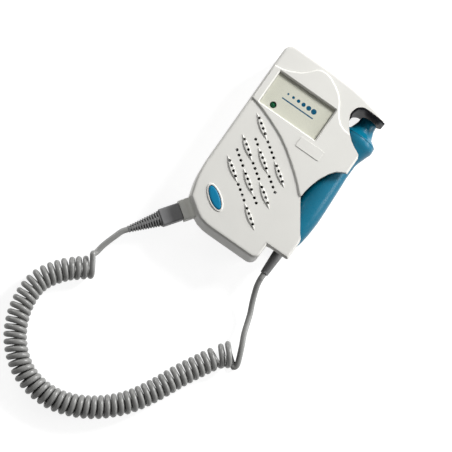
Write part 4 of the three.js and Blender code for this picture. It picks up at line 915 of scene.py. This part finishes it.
@dataclass(frozen=True)
class Studio:
    """The camera, the lamps, the floor and the backdrop."""

    target: Point = (-5.27 * MM, -54.94 * MM, 0.0)
    elevation: float = 79.0
    roll: float = 35.0
    span: float = 307.4 * MM
    distance: float = 2.5
    sensor: float = 36.0
    sight: float = 20.0
    lamps: Sequence[tuple[str, Point, float, float]] = (
        ("key_lamp", (0.46, 0.95, 0.72), 0.34, 20.0),
        ("side_lamp", (1.2, 0.62, 0.42), 0.62, 9.0),
        ("fill_lamp", (-1.6, 0.75, 0.3), 0.9, 15.0),
    )
    sky: float = 0.17
    backdrop_light: float = 1.0
    floor_size: float = 6.0
    floor_drop: float = 0.2 * MM
    floor_grain: float = 0.01
    floor_tones: Span = (0.34, 0.36)
    floor_roughness: float = 0.9
    floor_glow: float = 0.86

    def camera(self) -> None:
        """Set up the long-lens camera that looks down on the part, turned as in the photograph."""
        lift, turn = math.radians(self.elevation), math.radians(self.roll)
        back = Vector((0, -math.cos(lift), math.sin(lift)))
        level = Vector((0, math.sin(lift), math.cos(lift)))
        right = Vector((math.cos(turn), 0, 0)) + level * math.sin(turn)
        top = Vector((-math.sin(turn), 0, 0)) + level * math.cos(turn)
        data = bpy.data.cameras.new("camera")
        data.sensor_width = self.sensor
        data.lens = data.sensor_width * self.distance / self.span
        data.clip_end = self.sight
        obj = linked("camera", data)
        place = Vector(self.target) + back * self.distance
        obj.matrix_world = Matrix((
            (right.x, top.x, back.x, place.x), (right.y, top.y, back.y, place.y),
            (right.z, top.z, back.z, place.z), (0, 0, 0, 1),
        ))
        bpy.context.scene.camera = obj

    def lamp(self, name: str, place: Point, size: float, power: float) -> None:
        """Hang one soft lamp that faces the part.

        Args:
            name: The lamp's name.
            place: Where it hangs.
            size: Width of its square.
            power: Its power in watts.
        """
        data = bpy.data.lights.new(name, "AREA")
        data.shape = "SQUARE"
        data.size = size
        data.energy = power
        obj = linked(name, data)
        obj.location = place
        obj.rotation_euler = (Vector(self.target) - Vector(place)).to_track_quat("-Z", "Y").to_euler()

    def seen(self, nodes: Nodes) -> Socket:
        """Find the rays that see the backdrop: those of the camera, of gloss and of clear pieces.

        Args:
            nodes: The node tree to work in.

        Returns:
            A value of 1 on these rays.
        """
        path = nodes.add("ShaderNodeLightPath")
        value = path.outputs["Is Camera Ray"]
        for name in ("Is Glossy Ray", "Is Transmission Ray"):
            value = nodes.join(Join.MOST, value, path.outputs[name])
        return value

    def world(self) -> None:
        """Light the part evenly from all round, in front of a white backdrop."""
        world = bpy.data.worlds.new("studio_world")
        bpy.context.scene.world = world
        world.use_nodes = True
        nodes = Nodes(world.node_tree)
        plain = nodes.tree.nodes["Background"]
        nodes.wire(WHITE, plain.inputs["Color"])
        nodes.wire(self.sky, plain.inputs["Strength"])
        white = nodes.add("ShaderNodeBackground", {"Color": WHITE, "Strength": self.backdrop_light})
        inputs = {0: self.seen(nodes), 1: plain.outputs[0], 2: white.outputs[0]}
        mix = nodes.add("ShaderNodeMixShader", inputs)
        nodes.wire(mix.outputs[0], nodes.tree.nodes["World Output"].inputs["Surface"])

    def floor(self) -> None:
        """Lay the pale floor, which keeps the part's shadow."""
        clear_selection()
        bpy.ops.mesh.primitive_plane_add(size=self.floor_size, location=(0, 0, -self.floor_drop))
        obj = bpy.context.active_object
        obj.name = "studio_floor"
        shader = Shader("floor_paper")
        low, high = ((tone, tone, tone, 1) for tone in self.floor_tones)
        shader.feed("Base Color", shader.mix(shader.noise(self.floor_grain, detail=3.0), low, high))
        shader.feed("Roughness", self.floor_roughness)
        shader.feed("Specular IOR Level", 0.0)
        strength = shader.join(Join.TIMES, self.seen(shader), self.floor_glow)
        glow = shader.add("ShaderNodeEmission", {"Color": WHITE, "Strength": strength})
        both = shader.add("ShaderNodeAddShader", {0: shader.surface.outputs[0], 1: glow.outputs[0]})
        shader.wire(both.outputs[0], shader.tree.nodes["Material Output"].inputs["Surface"])
        obj.data.materials.append(shader.material)
        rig.stage(obj)

    def build(self) -> None:
        """Set up the whole studio."""
        bpy.context.scene.view_settings.view_transform = "Standard"
        self.camera()
        for lamp in self.lamps:
            self.lamp(*lamp)
        self.world()
        self.floor()
        log.info("studio: camera, lamps and floor")


# Cords


@dataclass
class Route:
    """A smooth curve through points in millimetres, read by arc length."""

    points: Sequence[Sequence[float]]
    divisions: int = 200
    slack: float = 1e-12
    nudge: float = 1e-4
    lengths: list[float] = field(default_factory=list)

    def __post_init__(self) -> None:
        """Measure the curve."""
        self.points = [Vector(point) for point in self.points]
        last, total = self.at(0.0), 0.0
        self.lengths = [0.0]
        for i in range(1, self.divisions + 1):
            point = self.at(i / self.divisions)
            total += (point - last).length
            self.lengths.append(total)
            last = point

    def at(self, value: float) -> Vector:
        """Give the point at a curve value, on a centripetal spline.

        Args:
            value: From 0 to 1.

        Returns:
            The point in millimetres.
        """
        count = len(self.points)
        place = (count - 1) * value
        index = min(int(place), count - 2)
        weight = place - index
        p1, p2 = self.points[index], self.points[index + 1]
        p0 = self.points[index - 1] if index > 0 else 2 * p1 - p2
        p3 = self.points[index + 2] if index + 2 < count else 2 * p2 - p1
        d0, d1, d2 = (math.sqrt((b - a).length) for a, b in ((p0, p1), (p1, p2), (p2, p3)))
        t1 = ((p1 - p0) / d0 - (p2 - p0) / (d0 + d1) + (p2 - p1) / d1) * d1
        t2 = ((p2 - p1) / d1 - (p3 - p1) / (d1 + d2) + (p3 - p2) / d2) * d1
        square, cube = 3 * (p2 - p1) - 2 * t1 - t2, 2 * (p1 - p2) + t1 + t2
        return p1 + weight * t1 + weight ** 2 * square + weight ** 3 * cube

    def value(self, share: float) -> float:
        """Turn a share of the length into a curve value.

        Args:
            share: From 0 to 1.

        Returns:
            The curve value there.
        """
        wanted = share * self.lengths[-1]
        low = max(i for i, length in enumerate(self.lengths) if length <= wanted + self.slack)
        if low == self.divisions:
            return 1.0
        step = self.lengths[low + 1] - self.lengths[low]
        return (low + (wanted - self.lengths[low]) / step) / self.divisions

    def point(self, share: float) -> Vector:
        """Give the point at a share of the length."""
        return self.at(self.value(share))

    def heading(self, share: float) -> Vector:
        """Give the direction at a share of the length."""
        value = self.value(share)
        return (self.at(min(value + self.nudge, 1.0)) - self.at(max(value - self.nudge, 0.0))).normalized()


@dataclass
class CurlyCord:
    """The cord from probe to plug: a lead, the coil and a second lead, with sizes in millimetres."""

    wire: float = 4.0
    radius: float = 6.1
    first_grow: float = 1.3
    grow_to: float = 2.2
    pitch: float = 4.6
    wide_from: float = 16.0
    curls: int = 56
    start_turn: float = 270.0
    end_turn: float = 90.0
    late_gap: float = 2.2
    gap_turns: Span = (1.3, 2.5)
    clearance: float = 0.3
    tail_clearance: float = 0.05
    steps: int = 22
    lead_steps: int = 90
    tail_steps: int = 40
    blend_share: float = 0.1
    facets: int = 3
    merge: float = 1e-7
    facet: float = 60.0
    axis: Sequence[Span] = (
        (47.2, -126.8), (42.2, -131.9), (38.4, -137.4), (34.3, -144.8), (26.3, -160), (18.7, -176.6),
        (6.9, -195.6), (-12.3, -212.3), (-35.1, -220.7), (-58.6, -217.5), (-77, -203), (-87, -181.6),
        (-87.2, -160.9), (-77.2, -144.4), (-70.4, -138.2), (-63.5, -132.5),
    )
    probe_exit: Point = (34.2, -70.3, 16.2)
    probe_route: Sequence[Point] = (
        (34.2, -74, 16.1), (34.9, -78.6, 14), (36.8, -84.2, 11), (39.2, -90, 8.6), (42, -96.2, 7.2),
        (44.2, -103, 7.4), (46.4, -110, 8), (50.2, -118.4, 7.2), (52.8, -124.4, 5.4), (54.4, -128.4, 3.6),
        (54.6, -130.8, 2.4), (53.4, -132.2, 2),
    )
    plug_seat: Span = (-31.6, -61.2)
    plug_slope: float = 0.72
    strain_end: float = 45.2
    parting: float = 13.5
    plug_route: Sequence[Point] = (
        (-62.5, -106.8, 13.2), (-65.4, -116.2, 12.8), (-66.8, -124, 13.2),
    )

    def ease(self, value: float, start: float, end: float) -> float:
        """Rise smoothly from 0 at the start to 1 at the end."""
        place = min(max((value - start) / (end - start), 0), 1)
        return place * place * (3 - 2 * place)

    def coil(self) -> list[Vector]:
        """Work out the coil's centreline.

        Returns:
            Its points in millimetres, with a straight end at each side.
        """
        route = Route([(x, y, 0) for x, y in self.axis])
        length = route.lengths[-1]
        turns = self.curls + (self.end_turn - self.start_turn) / 360
        spread = length - self.late_gap - self.pitch * turns
        count = round(turns * self.steps)
        points = []
        for i in range(count + 1):
            turn = i / count * turns
            radius = self.radius + self.first_grow * (1 - self.ease(turn, 0, self.grow_to))
            late = self.late_gap * self.ease(turn, *self.gap_turns)
            along = self.pitch * turn + late + spread * self.ease(turn, self.wide_from, turns)
            share = min(max(along / length, 0), 1)
            heading = route.heading(share)
            side = Vector((heading.y, -heading.x, 0))
            angle = math.radians(self.start_turn + 360 * turn)
            height = self.wire / 2 + radius * (1 + math.sin(angle))
            points.append(route.point(share) + side * radius * math.cos(angle) + Vector((0, 0, height)))
        back = points[0] - points[1]
        start = points[0] + Vector((back.x, back.y, 0)).normalized() * self.wire
        end = points[-1] + (points[-1] - points[-2]).normalized() * self.wire
        return [start, *points, end]

    def along_plug(self, distance: float) -> Vector:
        """Give a point on the plug's axis.

        Args:
            distance: Its distance from the plug's seat, in millimetres.

        Returns:
            The point in millimetres.
        """
        turn = math.atan(self.plug_slope)
        axis = Vector((-math.sin(turn), -math.cos(turn), 0))
        return Vector((*self.plug_seat, self.parting)) + axis * distance

    def beyond(self, end: Vector, before: Vector, distance: float) -> Vector:
        """Give the point off an end of the coil, straight on from it."""
        return end + (end - before).normalized() * distance

    def tube(self, name: str, points: Sequence[Vector]) -> tuple[Object, list[Vector]]:
        """Model a round tube along points.

        Args:
            name: The piece's name.
            points: The centreline in millimetres.

        Returns:
            The tube and its centreline in metres.
        """
        path = [point * MM for point in points]
        data = bpy.data.curves.new(name, "CURVE")
        data.dimensions = "3D"
        data.bevel_depth = self.wire / 2 * MM
        data.bevel_resolution = self.facets
        data.use_fill_caps = True
        line = data.splines.new("POLY")
        line.points.add(len(path) - 1)
        for place, point in zip(line.points, path):
            place.co = (*point, 1)
        pick(linked(name, data))
        bpy.ops.object.convert(target="MESH")
        obj = bpy.context.active_object
        tidy_mesh(obj, self.merge)
        smooth(obj, self.facet)
        return obj, path

    def length(self, path: Sequence[Vector]) -> float:
        """Measure a centreline in metres."""
        return sum((b - a).length for a, b in zip(path, path[1:]))

    def build(self) -> None:
        """Model and declare both parts of the cord."""
        coil = self.coil()
        exit_point = Vector(self.probe_exit)
        lead = Route([
            exit_point, exit_point + Vector((0, -self.wire, 0)), *self.probe_route,
            self.beyond(coil[0], coil[1], self.wire / 2 + self.clearance),
            self.beyond(coil[0], coil[1], self.clearance),
        ])
        points = [lead.point(i / self.lead_steps) for i in range(self.lead_steps + 1)] + coil
        cord, path = self.tube("curly_cord_piece", points)
        present(cord, CORD_GREY, None, "cord_grey", "probe_lead", "curly_cord")
        plug_exit = self.along_plug(self.strain_end + self.clearance)
        second = Route([
            plug_exit, self.along_plug(self.strain_end + self.clearance + self.wire), *self.plug_route,
            self.beyond(coil[-1], coil[-2], self.wire + self.clearance),
            self.beyond(coil[-1], coil[-2], self.tail_clearance),
        ])
        points = [second.point(i / self.tail_steps) for i in range(self.tail_steps + 1)]
        tail, tail_path = self.tube("plug_lead_piece", points)
        present(tail, CORD_GREY, None, "cord_grey", "plug_lead")
        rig.cord(
            cord, exit=path[0], length=self.length(path), diameter=self.wire * MM, far_end="connector",
            stiffness="medium", lay="loose", path=path,
            with_pieces=[frame["nodes"][name] for name in ("plug_contacts",)],
        )
        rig.cord(
            tail, exit=tail_path[0], length=self.length(tail_path), diameter=self.wire * MM,
            far_end="object", stiffness="medium", lay="loose", path=tail_path,
        )
        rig.blend(cord, "probe", "housing", start=(0.0342, -0.074, 0.0162), end=(0.0342, -0.12, 0.0162))
        first, last, near, far = tail_path[0], tail_path[-1], 1 - self.blend_share, self.blend_share
        start, end = first * near + last * far, first * far + last * near
        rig.blend(tail, "plug", "housing", start=tuple(start), end=tuple(end))
        log.info("cord: %.3f m and %.3f m", self.length(path), self.length(tail_path))


# The part


@dataclass
class Housing:
    """The two shells, the battery door, the liners, the name plate and the case screws."""

    rounding: float = 0.45 * MM
    plate_centre: Point = (11.2 * MM, 15.1 * MM, 33.0 * MM)
    plate_size: Point = (18.7 * MM, 7.6 * MM, 0.4 * MM)
    plate_corner: float = 0.8 * MM
    plate_edge: float = 0.12 * MM

    def build(self) -> None:
        """Build the housing's pieces."""
        for node, name, finish, body, slot in (
            ("front_shell", "front_shell_piece", SHELL, Body.HOUSING, "shell"),
            ("back_shell", "back_shell_piece", SHELL, Body.HOUSING, "shell"),
            ("battery_door", "battery_door_piece", SHELL, Body.DOOR, "shell"),
            ("hook_liner", "hook_liner_piece", CHARCOAL, Body.HOUSING, "charcoal"),
            ("holster_liner", "holster_liner_piece", CHARCOAL, Body.HOUSING, "charcoal"),
        ):
            obj = copy_of_node(node, name)
            soften(obj, self.rounding)
            present(obj, finish, body, slot, node)
        size, centre = Vector(self.plate_size), Vector(self.plate_centre)
        plate = block("name_plate_piece", size, centre, self.plate_corner, self.plate_edge)
        present(plate, SHELL, Body.HOUSING, "shell", "name_plate")
        dress(STEEL, "case_screw_1", "case_screw_2", "case_screw_3", "case_screw_4")


@dataclass
class Window:
    """The card, the lens and the status lamp."""

    lens_centre: Point = (-12.25 * MM, 35.0 * MM, 30.74 * MM)
    lens_size: Point = (45.3 * MM, 24.8 * MM, 1.12 * MM)
    lens_corner: float = 0.3 * MM
    lens_edge: float = 0.2 * MM

    def build(self) -> None:
        """Build the window."""
        dress(CARD, "window_card")
        size, centre = Vector(self.lens_size), Vector(self.lens_centre)
        lens = block("window_lens_piece", size, centre, self.lens_corner, self.lens_edge)
        present(lens, LENS, Body.HOUSING, "lens", "window_lens")
        dress(LAMP, "status_lamp")


@dataclass
class Controls:
    """The power button and its switch."""

    rounding: float = 0.4 * MM

    def build(self) -> None:
        """Build the controls."""
        obj = copy_of_node("power_button", "power_button_piece")
        soften(obj, self.rounding)
        present(obj, BUTTON_BLUE, Body.BUTTON, "button_blue", "power_button")
        dress(BLACK, "switch_plunger", "button_switch")


@dataclass
class Probe:
    """The pencil probe, whose rings are shares of its length and of its collar's radius."""

    axis_x: float = 34.2 * MM
    axis_z: float = 16.2 * MM
    tip: float = 58.0 * MM
    end: float = -52.2 * MM
    collar: float = 13.6 * MM
    wall: float = 1.4 * MM
    land: float = 2.4 * MM
    mouth: float = 4.6 * MM
    neck: float = 2.7 * MM
    rounding: float = 0.4 * MM
    edge_angle: float = 36.0
    facet: float = 35.0
    relief_rounding: float = 0.2 * MM
    sides: int = 72
    shares: Sequence[Span] = (
        (0, 0.4), (0.007, 0.441), (0.04, 0.47), (0.071, 0.56), (0.088, 0.612), (0.097, 0.652),
        (0.103, 0.715), (0.11, 0.8), (0.118, 0.88), (0.1245, 0.935), (0.127, 0.972), (0.1315, 0.978),
        (0.134, 0.964), (0.145, 0.988), (0.158, 0.994), (0.171, 0.978), (0.183, 0.945), (0.194, 0.905),
        (0.225, 0.816), (0.256, 0.728), (0.286, 0.676), (0.372, 0.662), (0.502, 0.713), (0.624, 0.75),
        (0.717, 0.765), (0.809, 0.721), (0.871, 0.654), (0.926, 0.551), (0.97, 0.412), (1, 0.285),
    )

    def shell(self) -> Object:
        """Model the barrel as one hollow turned shell.

        Returns:
            The whole barrel, in its place.
        """
        length = self.tip - self.end
        outer = [(along * length, size * self.collar) for along, size in self.shares]
        last = length - self.land
        inner = [(along, radius - self.wall) for along, radius in outer if self.land < along < last]
        mouth = [(0.0, self.mouth), (inner[0][0], self.mouth)]
        neck = [(outer[-1][0], self.neck), (inner[-1][0], self.neck)]
        rings = [mouth[0], *outer, *neck, *reversed(inner), mouth[1], mouth[0]]
        obj = turned("barrel", rings, self.sides, hollow=True)
        place = Matrix.Translation((self.axis_x, self.tip, self.axis_z))
        obj.matrix_world = place @ Matrix.Rotation(math.pi / 2, 4, "X")
        settle(obj)
        soften(obj, self.rounding, 3, self.edge_angle)
        return obj

    def half(self, whole: Object, name: str, upper: bool) -> Object:
        """Cut one half shell off the turned barrel.

        Args:
            whole: The turned barrel.
            name: The half's name.
            upper: Whether it is the half that faces up.

        Returns:
            The half shell.
        """
        obj = linked(name, whole.data.copy())
        edit(obj)
        bpy.ops.mesh.bisect(
            plane_co=(0, 0, self.axis_z), plane_no=(0, 0, 1), use_fill=True,
            clear_inner=upper, clear_outer=not upper,
        )
        tidy_mesh(obj)
        smooth(obj, self.facet)
        return obj

    def build(self) -> None:
        """Build the probe's pieces."""
        whole = self.shell()
        for name, node, upper in (
            ("probe_upper_shell", "probe_front_half", True),
            ("probe_lower_shell", "probe_back_half", False),
        ):
            present(self.half(whole, name, upper), TEAL, Body.PROBE, "probe_blue", node)
        bpy.data.objects.remove(whole, do_unlink=True)
        dress(FACE_GREY, "transducer_face")
        dress(CERAMIC, "sending_crystal", "receiving_crystal")
        dress(BLACK, "crystal_backing")
        dress(BOARD, "probe_board")
        relief = copy_of_node("probe_strain_relief", "probe_strain_piece")
        soften(relief, self.relief_rounding)
        present(relief, RELIEF_GREY, Body.PROBE, "plug_grey", "probe_strain_relief")


@dataclass
class Plug:
    """The plug, its strain relief and the socket, on the axis that leaves the housing's corner.

    Each of the steps is a cut's place across and up, its width and its height, in millimetres.
    """

    seat: Point = (-31.6 * MM, -61.2 * MM, 13.5 * MM)
    slope: float = 0.72
    relief_start: float = 22.6 * MM
    relief_length: float = 22.6 * MM
    ribs: int = 12
    wide: float = 5.4 * MM
    slim: float = 2.35 * MM
    groove: float = 0.8 * MM
    core: float = 1.9 * MM
    spine: float = 1.7 * MM
    spine_sink: float = 0.15 * MM
    end_sink: float = 0.1 * MM
    rib_share: float = 0.42
    slot_shares: Span = (0.46, 0.96)
    flat: float = 0.86
    sides: int = 40
    cutter: Point = (20 * MM, 20 * MM, 60 * MM)
    cutter_rise: float = 10 * MM
    cutter_corner: float = 0.5 * MM
    rounding: float = 0.5 * MM
    fine_rounding: float = 0.1 * MM
    step_start: float = 1.9 * MM
    step_corner: float = 0.2 * MM
    step_depth: float = 2.8
    steps: Sequence[tuple[float, float, float, float]] = (
        (0, 9.7, 14.8, 10.5), (14, 0, 13.4, 12.0), (-14, 0, 13.4, 12.0),
    )

    def onto_axis(self, obj: Object, distance: float) -> None:
        """Turn a piece that was modelled along +Z onto the plug's axis.

        Args:
            obj: The piece.
            distance: Where its origin goes, measured from the seat.
        """
        turn = math.atan(self.slope)
        out = Vector((-math.sin(turn), -math.cos(turn), 0))
        side = Vector((-out.y, out.x, 0))
        place = Vector(self.seat) + out * distance
        obj.matrix_world = Matrix((
            (side.x, 0, out.x, place.x), (side.y, 0, out.y, place.y),
            (side.z, 1, out.z, place.z), (0, 0, 0, 1),
        ))
        settle(obj)
        tidy_mesh(obj)

    def score(self, socket: Object) -> None:
        """Cut the shallow step between the socket's collar and the housing.

        Args:
            socket: The socket piece.
        """
        for across, up, width, height in self.steps:
            size, centre = Vector((width, height, self.step_depth)) * MM, Vector((across, up, 0)) * MM
            tool = block("step", size, centre, self.step_corner, self.fine_rounding)
            self.onto_axis(tool, self.step_start)
            combine(socket, tool, Cut.OUT)

    def relief(self) -> Object:
        """Model the strain relief: slotted ribs at both sides of a smooth spine.

        Returns:
            The strain relief, along +Z.
        """
        pitch = (self.relief_length - self.slim / 2) / self.ribs
        rings = []
        for i in range(self.ribs):
            along = i * pitch
            radius = self.wide + (self.slim - self.wide) * along / self.relief_length
            rings += [(along, radius), (along + pitch * self.rib_share, radius)]
            low = max(radius - self.groove, self.core)
            rings += [(along + pitch * share, low) for share in self.slot_shares]
        rings += [(self.ribs * pitch, self.slim), (self.relief_length, self.slim)]
        ribbed = turned("plug_strain_piece", rings, self.sides)
        end = (self.relief_length - self.end_sink, self.slim - self.end_sink)
        spine = turned("spine", [(0.0, self.wide - self.spine_sink), end], self.sides)
        for sign in (-1, 1):
            centre = Vector((sign * (self.cutter[0] / 2 + self.spine / 2), 0, self.cutter_rise))
            wall = block("wall", Vector(self.cutter), centre, self.cutter_corner, self.fine_rounding)
            combine(spine, wall, Cut.OUT)
        combine(ribbed, spine, Cut.ON)
        ribbed.scale = (1, self.flat, 1)
        settle(ribbed)
        soften(ribbed, self.fine_rounding, 1, 40.0)
        return ribbed

    def build(self) -> None:
        """Build the plug's pieces."""
        socket = copy_of_node("probe_socket", "probe_socket_piece")
        self.score(socket)
        soften(socket, self.rounding, 3)
        present(socket, BOSS, Body.HOUSING, "boss", "probe_socket")
        plug = copy_of_node("plug_body", "plug_body_piece")
        soften(plug, self.rounding, 3)
        present(plug, PLUG_GREY, Body.PLUG, "plug_grey", "plug_body")
        relief = self.relief()
        self.onto_axis(relief, self.relief_start)
        present(relief, RIBBED, Body.PLUG, "plug_grey", "plug_strain_relief")
        dress(BRASS, "plug_contacts", "socket_contacts")


@dataclass
class Interior:
    """What the housing holds: battery, boards, speaker."""

    def build(self) -> None:
        """Dress the solids inside."""
        dress(CELL, "battery")
        dress(BLACK, "battery_snap", "processor_chip", "amplifier_chip")
        dress(BOARD, "lamp_board", "switch_board", "doppler_board")
        dress(TIN, "shield_can", "capacitor_1", "capacitor_2")
        dress(STEEL, "board_screw_1", "board_screw_2", "board_screw_3", "board_screw_4", "speaker_frame")
        dress(CONE, "speaker_cone")
        dress(MAGNET, "speaker_magnet")
        dress(FOAM, "speaker_gasket")


def main() -> None:
    """Build the studio and every sub-assembly, and write down the size of the result."""
    logging.basicConfig(level=logging.INFO, format="%(name)s: %(message)s", stream=sys.stdout)
    Studio().build()
    CurlyCord().build()
    for assembly in (Housing(), Window(), Controls(), Probe(), Plug(), Interior()):
        assembly.build()
        log.info("%s: built", type(assembly).__name__)
    with open("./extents.json", "w", encoding="utf-8") as report:
        json.dump({"cad": cad_box, "visual": [list(corner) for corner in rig.bounds()]}, report, indent=1)


if __name__ == "__main__":
    main()
